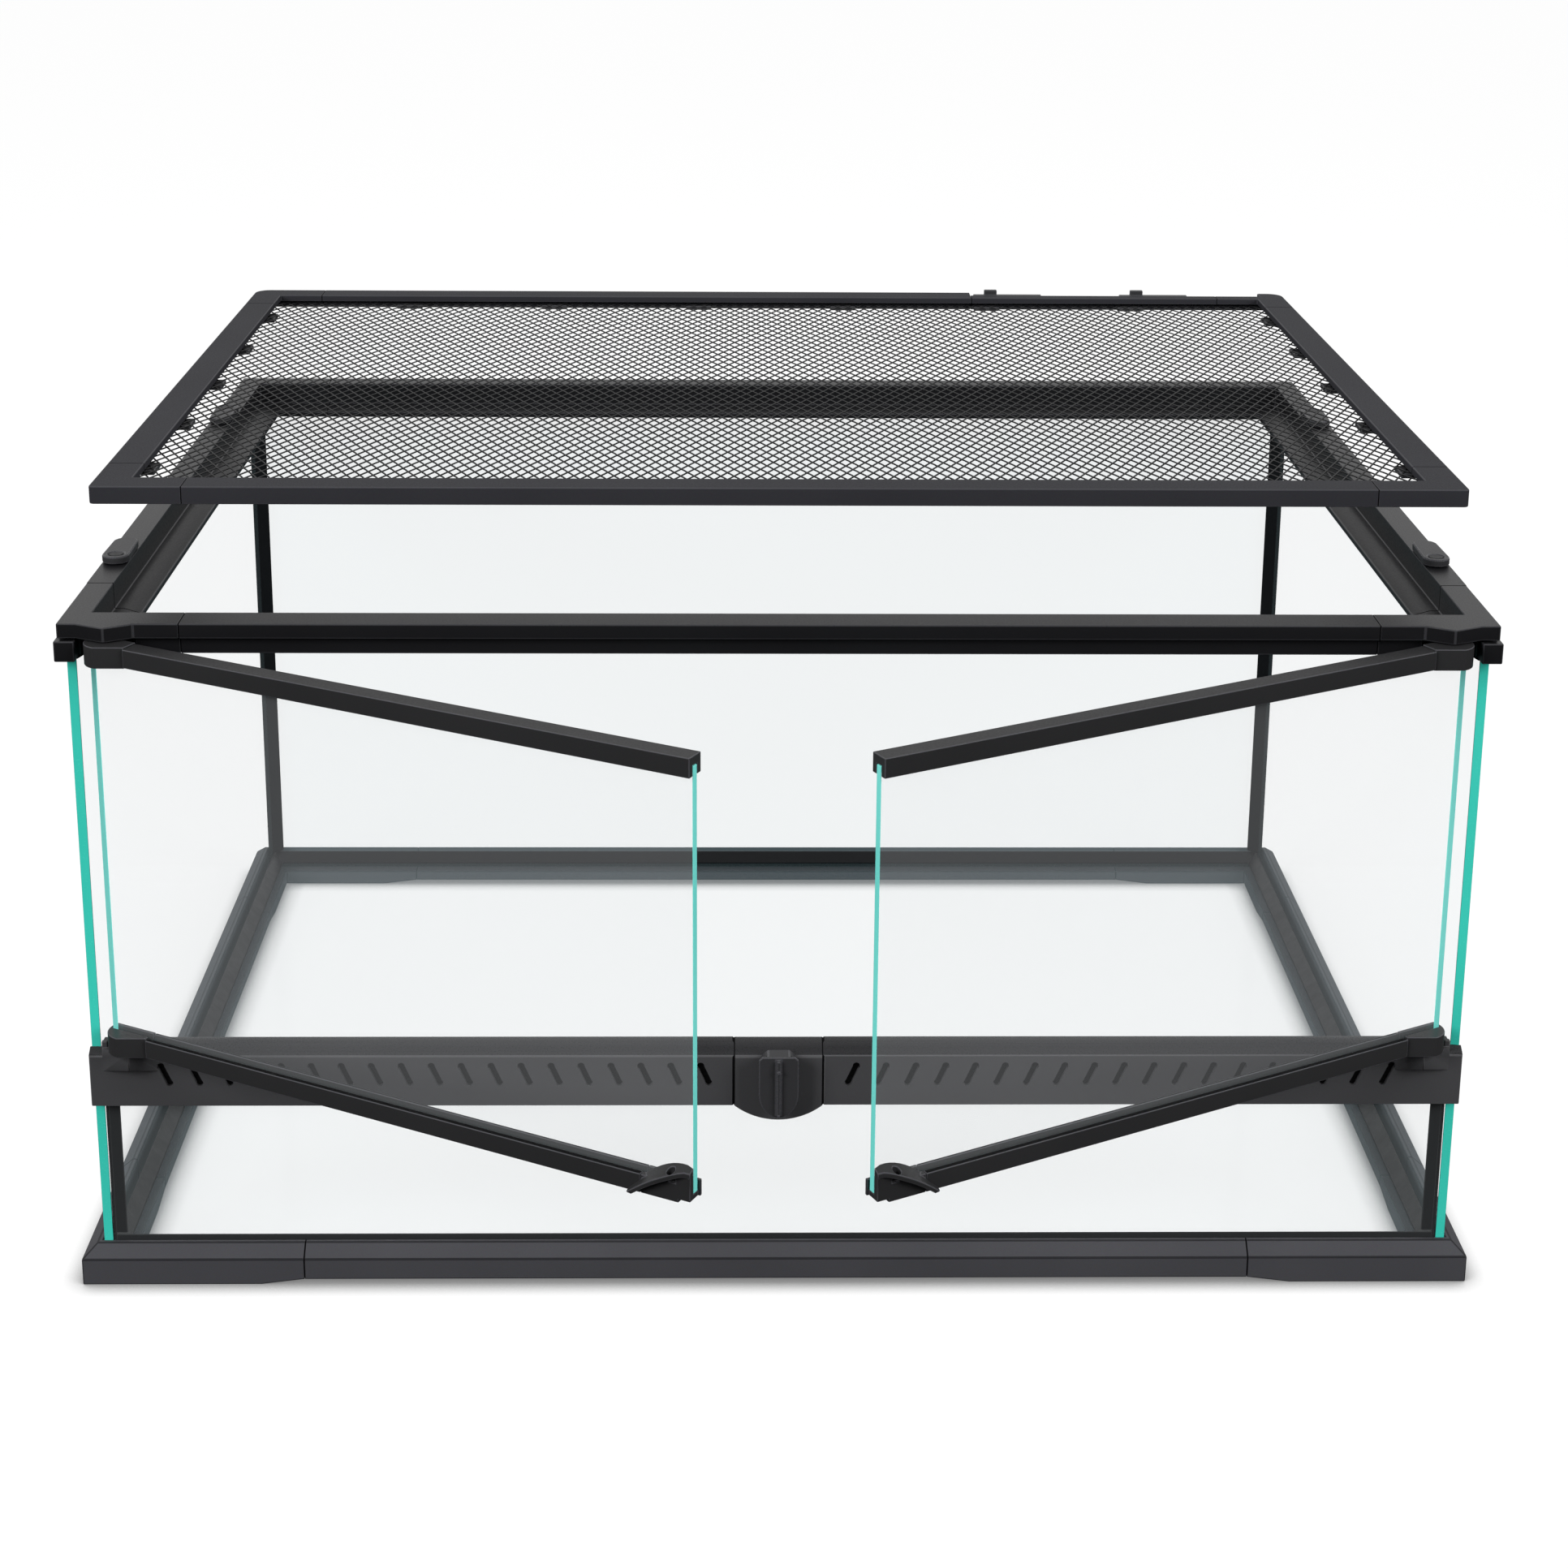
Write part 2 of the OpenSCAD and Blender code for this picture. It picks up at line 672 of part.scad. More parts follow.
module vent_strip()
    difference() {
        union() {
            intersection() {
                bar_x(-strip_end, -housing_w / 2 - joint_gap, at_face(front_y, 1, vent_section(vent_out)));
                union() {
                    block([-strip_in, front_y - 2 * vent_out, 0], [0, front_y + pane_t + 2 * leg_t, tank_h]);
                    block([-strip_end, front_y - 2 * vent_out, 0], [0, front_y - glass_gap, tank_h]);
                }
            }
            intersection() {
                translate([0, 0, vent_top - bracket_h - bracket_chamfer])
                    linear_extrude(bracket_h + bracket_chamfer)
                        bump_plan(front_y - vent_out);
                bar_x(-strip_end, 0, [
                    [front_y, vent_top - bracket_h - bracket_chamfer],
                    [front_y - vent_out, vent_top - bracket_h - bracket_chamfer],
                    [front_y - vent_out - bump_out, vent_top - bracket_h],
                    [front_y - vent_out - bump_out, vent_top], [front_y, vent_top]
                ]);
            }
            block([-hinge_x - bump_side, front_y - vent_out, crease_z - 1],
                [-hinge_x - bump_side + spur_w, vent_inner_y, lower_cap_z + spur_h]);
        }
        for (i = [0:slot_count - 1])
            vent_slot(-slot_first - i * slot_pitch);
        translate([-hinge_x, hinge_y, vent_top - pin_seat])
            cylinder(r = pin_r + seat_fit, h = pin_seat + 1);
    }

module vent_strip_left() color(black) vent_strip();
module vent_strip_right() color(black) mirror([1, 0, 0]) vent_strip();

module vent_screens()
    color("#161618")
        both_sides()
            block([-strip_end + slot_last - slot_w - slot_slant, vent_inner_y, web_top],
                [-slot_first + slot_w + slot_slant, vent_inner_y + screen_t, slot_z + slot_h + slot_w / 3]);

module lock_housing() {
    half = housing_w / 2;
    belly_r = (pow(half, 2) + pow(belly_drop, 2)) / (2 * belly_drop);
    color(black)
        difference() {
            union() {
                bar_x(-half, half, at_face(front_y, 1, vent_section(vent_out + housing_out)));
                translate([0, housing_y, 0])
                    mirror([0, 1, 0])
                        rotate([90, 0, 0])
                            linear_extrude(vent_out + housing_out - glass_gap)
                                intersection() {
                                    translate([0, vent_z - belly_drop + belly_r]) circle(belly_r, $fn = 96);
                                    translate([-half, vent_z - belly_drop]) square([housing_w, belly_drop]);
                                }
            }
            translate([0, front_y + 1, pivot_z])
                rotate([90, 0, 0])
                    cylinder(r = lock_pin_r + pin_fit, h = vent_out + housing_out + 2);
        }
}

// Shield outline of the turn button about its pivot: square head, tail drawn to a blunt point
module knob_plan() {
    half = knob_w / 2;
    taper = knob_tail - knob_straight;
    polygon(concat(
        [[-half, knob_up - knob_corner], [-half + knob_corner, knob_up],
         [half - knob_corner, knob_up], [half, knob_up - knob_corner]],
        [for (a = [0:6:180]) [half * cos(a), -knob_straight - taper * sin(a)]]
    ));
}

module lock_knob()
    color("#252629")
        difference() {
            translate([0, 0, pivot_z])
                rotate([90, 0, 0])
                    union() {
                        translate([0, 0, -plate_back])
                            linear_extrude(plate_t) knob_plan();
                        translate([0, 0, -knob_back])
                            linear_extrude(knob_back - plate_back) intersection() {
                                circle(neck_r);
                                knob_plan();
                            }
                        translate([-rib_w / 2, -knob_tail + rib_end, -knob_front])
                            cube([rib_w, knob_tail + knob_up - 2 * rib_end, rib_out]);
                    }
            translate([0, knob_back + 1, pivot_z])
                rotate([90, 0, 0])
                    cylinder(r = lock_pin_r, h = 1 + lock_pin_seat);
        }

// Pin pressed into the button, with a retaining head behind the housing's wall
module lock_pin()
    color("#8c8f93") {
        head_y = vent_inner_y + lock_play + retainer_t;
        translate([0, head_y, pivot_z])
            rotate([90, 0, 0])
                cylinder(r = retainer_r, h = retainer_t);
        translate([0, head_y, pivot_z])
            rotate([90, 0, 0])
                cylinder(r = lock_pin_r, h = head_y - knob_back + lock_pin_seat);
    }

// ---- Doors ----

// A door part is drawn with its pin at the origin, its glass towards +X and its front towards -Y
module left_door()
    translate([-hinge_x, hinge_y, 0])
        rotate([0, 0, -door_open])
            children();

module right_door()
    mirror([1, 0, 0])
        left_door() children();

module door_glass()
    block([-glass_past_pin, -door_pane_t / 2, door_glass_z], [door_len, door_pane_t / 2, door_glass_top]);

module door_top_rail()
    bar_x(rail_start, door_len, [
        [-rail_t / 2, top_rail_z], [-rail_t / 2, top_rail_top], [rail_t / 2, top_rail_top],
        [rail_t / 2, top_rail_z], [groove_half, top_rail_z], [groove_half, door_glass_top + glass_gap],
        [-groove_half, door_glass_top + glass_gap], [-groove_half, top_rail_z]
    ]);

function bottom_section(front_top) = [
    [-rail_t / 2, bottom_rail_z], [-rail_t / 2, front_top], [-groove_half, front_top],
    [-groove_half, door_glass_z], [groove_half, door_glass_z], [groove_half, bottom_rail_z + back_leg_h],
    [groove_half + back_leg_t, bottom_rail_z + back_leg_h], [groove_half + back_leg_t, bottom_rail_z]
];

module door_bottom_rail()
    bar_x(rail_start, door_len - pull_len - joint_gap, bottom_section(bottom_rail_top));

// Hinge cap seen from above: round about the pin, flat in front where it faces forward at rest,
// and cut off in line with the rail's rear face
module cap_plan(rear)
    intersection() {
        union() {
            circle(cap_r);
            translate([0, -cap_r]) square([rail_start - joint_gap, cap_r + rail_t / 2]);
        }
        translate([-2 * cap_r, -2 * cap_r]) square([4 * cap_r, 2 * cap_r + rear]);
        rotate([0, 0, door_open])
            translate([-2 * cap_r, -cap_face]) square([6 * cap_r, 4 * cap_r]);
    }

module glass_slot(z0, z1)
    block([-glass_past_pin - glass_gap, -groove_half, z0], [rail_start + 1, groove_half, z1]);

module door_upper_cap()
    difference() {
        translate([0, 0, top_rail_z - cap_step])
            linear_extrude(upper_cap_top - top_rail_z + cap_step) cap_plan(rail_t / 2);
        glass_slot(top_rail_z - cap_step - 1, door_glass_top + glass_gap);
        translate([0, 0, upper_cap_top - pin_reach - cap_play])
            cylinder(r = pin_r + pin_fit, h = pin_reach + cap_play + 1);
    }

module door_lower_cap()
    difference() {
        translate([0, 0, lower_cap_z])
            linear_extrude(bottom_rail_top + cap_step - lower_cap_z) cap_plan(groove_half + back_leg_t);
        glass_slot(door_glass_z, bottom_rail_top + cap_step + 1);
        translate([0, 0, lower_cap_z - 1])
            cylinder(r = pin_r + pin_fit, h = 1 + pin_reach + cap_play);
    }

// Height of the pull's top above the rail's underside at a distance from the free edge
function pull_top(u) =
    tail_h + (pull_h - tail_h) * sin(90 * min(1, (pull_reach - u) / (pull_reach - pull_crown)))
    - pull_corner * pow(max(0, 1 - u / pull_crown), 2);

// How far the visor stands out of the rail at a distance from the free edge
function visor_out(u) = u < pull_reach / 2
    ? pull_out * sin(180 * u / pull_reach)
    : tail_out + (pull_out - tail_out) * cos(90 * (2 * u / pull_reach - 1));

// Finger pull clipped over the rail's end: a block under a tilted visor that sweeps down to a tail
module door_pull() {
    body = [for (i = [0:pull_steps]) pull_len * i / pull_steps];
    sweep = [for (i = [0:pull_steps]) pull_reach * i / pull_steps];
    foot = bottom_rail_z + pull_step;
    difference() {
        union() {
            translate([0, -groove_half, 0])
                rotate([90, 0, 0])
                    linear_extrude(rail_t / 2 - groove_half)
                        polygon(concat(
                            [for (u = body) [door_len - u, bottom_rail_z + pull_top(u) - visor_t]],
                            [[door_len - pull_len, bottom_rail_z],
                             [door_len - pull_step_len - pull_step, bottom_rail_z],
                             [door_len - pull_step_len, foot], [door_len, foot]]
                        ));
            intersection() {
                translate([0, -groove_half, bottom_rail_z])
                    rotate([90 + visor_tilt, 0, 0])
                        linear_extrude(2 * (pull_out + rail_t + pull_h), center = true)
                            polygon(concat(
                                [for (u = sweep) [door_len - u, pull_top(u) * cos(visor_tilt)]],
                                [for (i = [pull_steps:-1:0])
                                    [door_len - sweep[i], (pull_top(sweep[i]) - visor_t) * cos(visor_tilt)]]
                            ));
                translate([0, 0, bottom_rail_z])
                    linear_extrude(pull_h)
                        polygon(concat(
                            [for (u = sweep) [door_len - u, -rail_t / 2 - visor_out(u)]],
                            [[door_len - pull_reach, -rail_t / 2], [door_len - pull_len, -rail_t / 2],
                             [door_len - pull_len, -groove_half], [door_len, -groove_half]]
                        ));
            }
            bar_x(door_len - pull_len, door_len - pull_step_len, bottom_section(bottom_rail_top));
            bar_x(door_len - pull_len, door_len + pull_wrap, [
                [groove_half, foot], [groove_half, bottom_rail_z + back_leg_h],
                [groove_half + back_leg_t, bottom_rail_z + back_leg_h], [groove_half + back_leg_t, foot]
            ]);
            block([door_len - pull_step_len - 1, -groove_half - 1, foot],
                [door_len, groove_half + back_leg_t, door_glass_z]);
        }
        translate([door_len - pull_hole_in, -rail_t / 2 - visor_out(pull_hole_in) / 4,
            bottom_rail_z + pull_hole_z])
            cylinder(r = pull_hole_r, h = pull_h);
    }
}

module left_door_glass() color(glass_green) left_door() door_glass();
module left_door_top_rail() color(black) left_door() door_top_rail();
module left_door_bottom_rail() color(black) left_door() door_bottom_rail();
module left_door_pull() color(black) left_door() door_pull();
module left_door_upper_cap() color(black) left_door() door_upper_cap();
module left_door_lower_cap() color(black) left_door() door_lower_cap();
module right_door_glass() color(glass_green) right_door() door_glass();
module right_door_top_rail() color(black) right_door() door_top_rail();
module right_door_bottom_rail() color(black) right_door() door_bottom_rail();
module right_door_pull() color(black) right_door() door_pull();
module right_door_upper_cap() color(black) right_door() door_upper_cap();
module right_door_lower_cap() color(black) right_door() door_lower_cap();

// Steel pins seated in the frame's bumps above and in the vent strip's brackets below
module hinge_pins()
    color("#8c8f93")
        both_sides()
            translate([-hinge_x, hinge_y, 0]) {
                translate([0, 0, upper_cap_top - pin_reach])
                    cylinder(r = pin_r, h = pin_reach + cap_play + pin_seat);
                translate([0, 0, vent_top - pin_seat])
                    cylinder(r = pin_r, h = pin_seat + cap_play + pin_reach);
            }

// ---- Top frame ----

// Section of the sides and the rear, from the outer face inwards
function rim_section(land) = [
    [-band_out, frame_z], [-band_out, band_top], [0, band_top], [0, tank_h], [land, tank_h],
    [land, shelf_z], [land + shelf_flat, shelf_z], [land + shelf_w, shelf_z - shelf_drop],
    [land + shelf_w, frame_z]
];

front_section = [
    [0, face_z], [0, tank_h], [front_land, tank_h], [front_land, shelf_z],
    [front_land + shelf_flat, shelf_z], [front_land + shelf_w, shelf_z - front_shelf_drop],
    [front_land + shelf_w, front_rail_z], [strip_back, front_rail_z], [strip_back, face_z]
];

module swing_screw_holes()
    both_sides()
        for (y = [lock_front_y, lock_rear_y])
            translate([-lock_x, y, tank_h - screw_seat])
                cylinder(r = screw_r + seat_fit, h = screw_seat + 1);

module top_front_corner()
    difference() {
        union() {
            intersection() {
                union() {
                    bar_x(-frame_x, -seam_x, at_face(frame_front_y, 1, front_section));
                    bar_y(front_y, seam_front_y, at_face(-frame_x, 1, rim_section(side_land)));
                }
                block([-frame_x - band_out, frame_front_y, 0], [0, 0, tank_h]);
            }
            block([-frame_x - band_out, frame_front_y - block_out, frame_z],
                [-end_block_x, front_y + pane_t, band_top]);
            translate([0, 0, face_z])
                linear_extrude(front_face_h)
                    bump_plan(frame_front_y);
        }
        block([-end_block_x, frame_front_y - bump_out - 1, 0],
            [-hinge_x + bump_in, hinge_y + cap_room, face_z]);
        translate([-hinge_x, hinge_y, face_z - 1])
            cylinder(r = pin_r + seat_fit, h = pin_seat + 1);
        pane_grooves(0, pane_top + glass_gap);
        swing_screw_holes();
    }

// Rear-left corner, drawn with its band running round the outer corner
module top_rear_corner()
    difference() {
        intersection() {
            union() {
                mirror([0, 1, 0])
                    bar_x(-frame_x - band_out, -seam_x, at_face(-frame_rear_y, 1, rim_section(rear_land)));
                bar_y(seam_rear_y, frame_rear_y + band_out, at_face(-frame_x, 1, rim_section(side_land)));
            }
            union() {
                block([-frame_x, 0, 0], [0, frame_rear_y, tank_h]);
                block([-frame_x - band_out, 0, 0], [0, frame_rear_y + band_out, band_top]);
            }
        }
        pane_grooves(0, pane_top + glass_gap);
        swing_screw_holes();
    }

module top_corner_front_left() color(frame_grey) top_front_corner();
module top_corner_front_right() color(frame_grey) mirror([1, 0, 0]) top_front_corner();
module top_corner_rear_left() color(frame_grey) top_rear_corner();
module top_corner_rear_right() color(frame_grey) mirror([1, 0, 0]) top_rear_corner();

module top_rail_front()
    color(frame_grey)
        bar_x(-seam_x + joint_gap, seam_x - joint_gap, at_face(frame_front_y, 1, front_section));

module top_rail_rear()
    color(frame_grey)
        difference() {
            bar_x(-seam_x + joint_gap, seam_x - joint_gap, at_face(frame_rear_y, -1, rim_section(rear_land)));
            pane_grooves(0, pane_top + glass_gap);
        }

module top_side_rail()
    difference() {
        bar_y(seam_front_y + joint_gap, seam_rear_y - joint_gap, at_face(-frame_x, 1, rim_section(side_land)));
        pane_grooves(0, pane_top + glass_gap);
        swing_screw_holes();
    }

module top_rail_left() color(frame_grey) top_side_rail();
module top_rail_right() color(frame_grey) mirror([1, 0, 0]) top_side_rail();

// ---- Swing locks ----

// Swing lock with its pivot at the origin and its free end towards +Y
module swing_lock_shape() {
    span = lock_reach - lock_end_r;
    tilt = asin((lock_r - lock_end_r) / span);
    difference() {
        linear_extrude(lock_t) {
            circle(lock_r);
            translate([0, span]) circle(lock_end_r);
            polygon([
                [-lock_r * cos(tilt), lock_r * sin(tilt)], [lock_r * cos(tilt), lock_r * sin(tilt)],
                [lock_end_r * cos(tilt), span + lock_end_r * sin(tilt)],
                [-lock_end_r * cos(tilt), span + lock_end_r * sin(tilt)]
            ]);
        }
        translate([0, 0, -1]) cylinder(r = screw_r + pin_fit, h = lock_t + 2);
        translate([0, 0, screw_head_z - lock_z - pin_fit])
            cylinder(r = screw_head_r + head_gap, h = lock_t);
    }
}

module swing_lock_front_left() color(black) translate([-lock_x, lock_front_y, lock_z]) swing_lock_shape();
module swing_lock_front_right() color(black) mirror([1, 0, 0]) swing_lock_front_left();
module swing_lock_rear_left()
    color(black)
        translate([-lock_x, lock_rear_y, lock_z])
            mirror([0, 1, 0]) swing_lock_shape();
module swing_lock_rear_right() color(black) mirror([1, 0, 0]) swing_lock_rear_left();

module swing_lock_screws()
    color("#1d1e20")
        both_sides()
            for (y = [lock_front_y, lock_rear_y])
                translate([-lock_x, y, 0]) {
                    translate([0, 0, tank_h - screw_seat])
                        cylinder(r = screw_r, h = screw_head_z - tank_h + screw_seat);
                    translate([0, 0, screw_head_z])
                        cylinder(r = screw_head_r, h = screw_head_h);
                }

// ---- Lid ----

// Lid parts are drawn about the lid's middle with its underside at z = 0
module lid()
    translate([0, lid_mid_y, lid_z])
        children();

lid_section = [
    [0, 0], [0, lid_h], [lid_w, lid_h], [lid_w, rebate_h],
    [lid_w - rebate_w, rebate_h], [lid_w - rebate_w, 0]
];

// Rounds the upright edge of a corner towards -X and -Y
module corner_round(r)
    translate([-lid_x, -lid_half_d, -1])
        difference() {
            translate([-1, -1, 0]) cube([r + 1, r + 1, lid_h + 2]);
            translate([r, r, -1]) cylinder(r = r, h = lid_h + 4);
        }

module lid_corner_shape(r)
    difference() {
        corner_piece(lid_x, lid_half_d, lid_seam_x, lid_seam_y, lid_section, lid_section);
        corner_round(r);
    }

// Notch along the rear edge, with the groove that guides the sliders
module inlet_notch() {
    block([inlet_x, lid_half_d - notch_w, notch_floor], [notch_x, lid_half_d + 1, lid_h + 1]);
    block([inlet_x, lid_half_d - notch_w - guide_d, guide_z], [notch_x, lid_half_d, guide_z + guide_h]);
}

module inlet_hole(x)
    block([x + inlet_wall, lid_half_d - notch_w + inlet_side, -1],
        [x + slider_len - inlet_wall, lid_half_d - inlet_side, notch_floor + 1]);

module lid_corner_front_left() color(black) lid() lid_corner_shape(lid_front_r);
module lid_corner_front_right() color(black) lid() mirror([1, 0, 0]) lid_corner_shape(lid_front_r);
module lid_corner_rear_left() color(black) lid() mirror([0, 1, 0]) lid_corner_shape(lid_rear_r);
module lid_corner_rear_right()
    color(black)
        lid()
            difference() {
                mirror([1, 0, 0]) mirror([0, 1, 0]) lid_corner_shape(lid_rear_r);
                inlet_notch();
            }

module lid_side_rail()
    bar_y(-lid_seam_y + joint_gap, lid_seam_y - joint_gap, at_face(-lid_x, 1, lid_section));

module lid_rail_left() color(black) lid() lid_side_rail();
module lid_rail_right() color(black) lid() mirror([1, 0, 0]) lid_side_rail();

module lid_rail_front()
    color(black)
        lid()
            bar_x(-lid_seam_x + joint_gap, lid_seam_x - joint_gap, at_face(-lid_half_d, 1, lid_section));

module lid_rail_rear()
    color(black)
        lid()
            bar_x(-lid_seam_x + joint_gap, inlet_x - joint_gap, at_face(lid_half_d, -1, lid_section));

module lid_inlet_rail()
    color(black)
        lid()
            difference() {
                bar_x(inlet_x, lid_seam_x - joint_gap, at_face(lid_half_d, -1, lid_section));
                inlet_notch();
                inlet_hole(slider_a_x);
                inlet_hole(slider_b_x);
            }

// Expanded panel: rows of diamonds, every second row shifted by half a diamond
module lid_mesh() {
    open_x = mesh_x - mesh_rim;
    open_y = mesh_y - mesh_rim;
    cell = [2 * open_x / mesh_columns, 2 * open_y / mesh_rows];
    half_w = (cell[0] - mesh_strand) / 2;
    half_d = half_w * cell[1] / cell[0];
    color("#3a3b3e")
        lid()
            translate([0, 0, mesh_z])
                linear_extrude(mesh_t)
                    difference() {
                        square([2 * mesh_x, 2 * mesh_y], center = true);
                        intersection() {
                            square([2 * open_x, 2 * open_y], center = true);
                            for (i = [0:2 * mesh_columns])
                                for (j = [i % 2:2:2 * mesh_rows])
                                    translate([i * cell[0] / 2 - open_x, j * cell[1] / 2 - open_y])
                                        polygon([[-half_w, 0], [0, -half_d], [half_w, 0], [0, half_d]]);
                        }
                    }
}

// Tabs under the mesh's edge that hold it up in the rebate
module mesh_clips() {
    depth = rebate_w + clip_reach;
    start = lid_w - rebate_w;
    color("#1f2022")
        lid()
            translate([0, 0, mesh_z - clip_t]) {
                both_sides()
                    for (i = [0:clip_side_count - 1])
                        translate([-lid_x + start,
                            (i - (clip_side_count - 1) / 2) * clip_pitch - clip_len / 2, 0])
                            cube([depth, clip_len, clip_t]);
                for (flip = [0, 1])
                    mirror([0, flip, 0])
                        for (i = [0:clip_end_count - 1])
                            translate([(i - (clip_end_count - 1) / 2) * clip_pitch - clip_len / 2,
                                -lid_half_d + start, 0])
                                cube([clip_len, depth, clip_t]);
            }
}

// Slider that covers an inlet's hole, guided by a tongue in the notch's groove
module inlet_slider(x)
    lid()
        translate([x, lid_half_d, 0]) {
            block([0, -notch_w + slider_play, slider_z], [slider_len, -slider_play, slider_z + slider_t]);
            block([0, -notch_w - guide_d + slider_play, guide_z + slider_play],
                [slider_len, -notch_w + 1, guide_z + guide_h - slider_play]);
            block([nub_x - nub_w / 2, -slider_play - nub_d, slider_z + slider_t - 1],
                [nub_x + nub_w / 2, -slider_play, slider_z + slider_t + nub_h]);
        }

module inlet_slider_a() color("#222326") inlet_slider(slider_a_x);
module inlet_slider_b() color("#222326") inlet_slider(slider_b_x);

// ---- Nodes ----

base_corner_front_left();
base_corner_front_right();
base_corner_rear_left();
base_corner_rear_right();
base_rail_front();
base_rail_rear();
base_rail_left();
base_rail_right();
floor_pane();
left_pane();
right_pane();
rear_pane();
front_pane();
corner_seals();
floor_seal();
vent_strip_left();
vent_strip_right();
vent_screens();
lock_housing();
lock_knob();
lock_pin();
left_door_glass();
left_door_top_rail();
left_door_bottom_rail();
left_door_pull();
left_door_upper_cap();
left_door_lower_cap();
right_door_glass();
right_door_top_rail();
right_door_bottom_rail();
right_door_pull();
right_door_upper_cap();
right_door_lower_cap();
hinge_pins();
top_corner_front_left();
top_corner_front_right();
top_corner_rear_left();
top_corner_rear_right();
top_rail_front();
top_rail_rear();
top_rail_left();
top_rail_right();
swing_lock_front_left();
swing_lock_front_right();
swing_lock_rear_left();
swing_lock_rear_right();
swing_lock_screws();
lid_corner_front_left();
lid_corner_front_right();
lid_corner_rear_left();
lid_corner_rear_right();
lid_rail_front();
lid_rail_rear();
lid_rail_left();
lid_rail_right();
lid_inlet_rail();
lid_mesh();
mesh_clips();
inlet_slider_a();
inlet_slider_b();
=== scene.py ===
import json
import math

import bmesh
import bpy
import numpy as np
from mathutils import Matrix, Vector

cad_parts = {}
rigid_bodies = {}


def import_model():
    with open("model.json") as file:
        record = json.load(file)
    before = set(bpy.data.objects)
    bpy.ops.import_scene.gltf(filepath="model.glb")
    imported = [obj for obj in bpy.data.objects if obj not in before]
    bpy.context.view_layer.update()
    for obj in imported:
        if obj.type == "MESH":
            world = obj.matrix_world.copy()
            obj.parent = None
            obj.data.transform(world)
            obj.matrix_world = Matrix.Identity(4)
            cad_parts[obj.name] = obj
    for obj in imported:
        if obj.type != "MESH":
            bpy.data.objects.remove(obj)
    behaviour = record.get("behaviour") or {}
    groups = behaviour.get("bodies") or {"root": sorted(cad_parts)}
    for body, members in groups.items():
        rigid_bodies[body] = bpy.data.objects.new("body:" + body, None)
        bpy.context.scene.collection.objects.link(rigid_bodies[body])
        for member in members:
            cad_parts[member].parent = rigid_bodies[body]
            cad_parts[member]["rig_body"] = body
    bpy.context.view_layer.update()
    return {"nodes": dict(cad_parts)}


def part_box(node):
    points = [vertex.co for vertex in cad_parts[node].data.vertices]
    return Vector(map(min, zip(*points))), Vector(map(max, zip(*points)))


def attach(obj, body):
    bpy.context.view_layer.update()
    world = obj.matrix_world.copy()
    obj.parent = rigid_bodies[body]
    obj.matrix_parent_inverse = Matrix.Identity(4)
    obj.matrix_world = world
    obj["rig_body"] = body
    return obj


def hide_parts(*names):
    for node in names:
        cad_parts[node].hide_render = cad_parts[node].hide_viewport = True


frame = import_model()


# ---- Base frame ----
# Four corner feet and four rails that the glass stands in, injection moulded in charcoal ABS.
# They are pushed together end to end, so a hairline shows at every joint.

MM = 0.001


def linear(code):
    """An sRGB hex colour as linear RGBA."""
    parts = [int(code[i:i + 2], 16) / 255 for i in (1, 3, 5)]
    return tuple(c / 12.92 if c <= 0.04045 else ((c + 0.055) / 1.055) ** 2.4 for c in parts) + (1.0,)


def add(material, kind, settings, links):
    """Adds a node with its settings, and links sockets of other nodes into its inputs."""
    node = material.node_tree.nodes.new(kind)
    for key, value in settings.items():
        if isinstance(key, str) and key in node.bl_rna.properties:
            setattr(node, key, value)
        else:
            node.inputs[key].default_value = value
    for key, socket in links.items():
        material.node_tree.links.new(socket, node.inputs[key])
    return node


def surface(name, **constants):
    """A new material with its Principled shader, whose constant values are set on its own sockets."""
    material = bpy.data.materials.new(name)
    material.use_nodes = True
    shader = material.node_tree.nodes["Principled BSDF"]
    for key, value in constants.items():
        shader.inputs[key.replace("_", " ")].default_value = value
    return material, shader


def noise(material, size, **settings):
    """A noise pattern fixed to the piece, with features about the given size."""
    place = add(material, "ShaderNodeTexCoord", {}, {})
    return add(material, "ShaderNodeTexNoise", {"Scale": 1 / size, **settings}, {"Vector": place.outputs["Object"]})


def mixed(material, dark, pale, share):
    """A colour that a pattern shifts between two shades."""
    shades = {"data_type": "RGBA", 6: linear(dark), 7: linear(pale)}
    return add(material, "ShaderNodeMix", shades, {0: share}).outputs[2]


def gloss(material, pattern, low, high, start=0.0, end=1.0):
    """Lets a pattern shift the roughness between two values."""
    span = {"From Min": start, "From Max": end, "To Min": low, "To Max": high}
    value = add(material, "ShaderNodeMapRange", span, {"Value": pattern})
    shader = material.node_tree.nodes["Principled BSDF"]
    material.node_tree.links.new(value.outputs["Result"], shader.inputs["Roughness"])


def relief(material, pattern, strength, depth):
    """Lets a pattern raise the surface by a small depth."""
    bump = add(material, "ShaderNodeBump", {"Strength": strength, "Distance": depth}, {"Height": pattern})
    shader = material.node_tree.nodes["Principled BSDF"]
    material.node_tree.links.new(bump.outputs["Normal"], shader.inputs["Normal"])


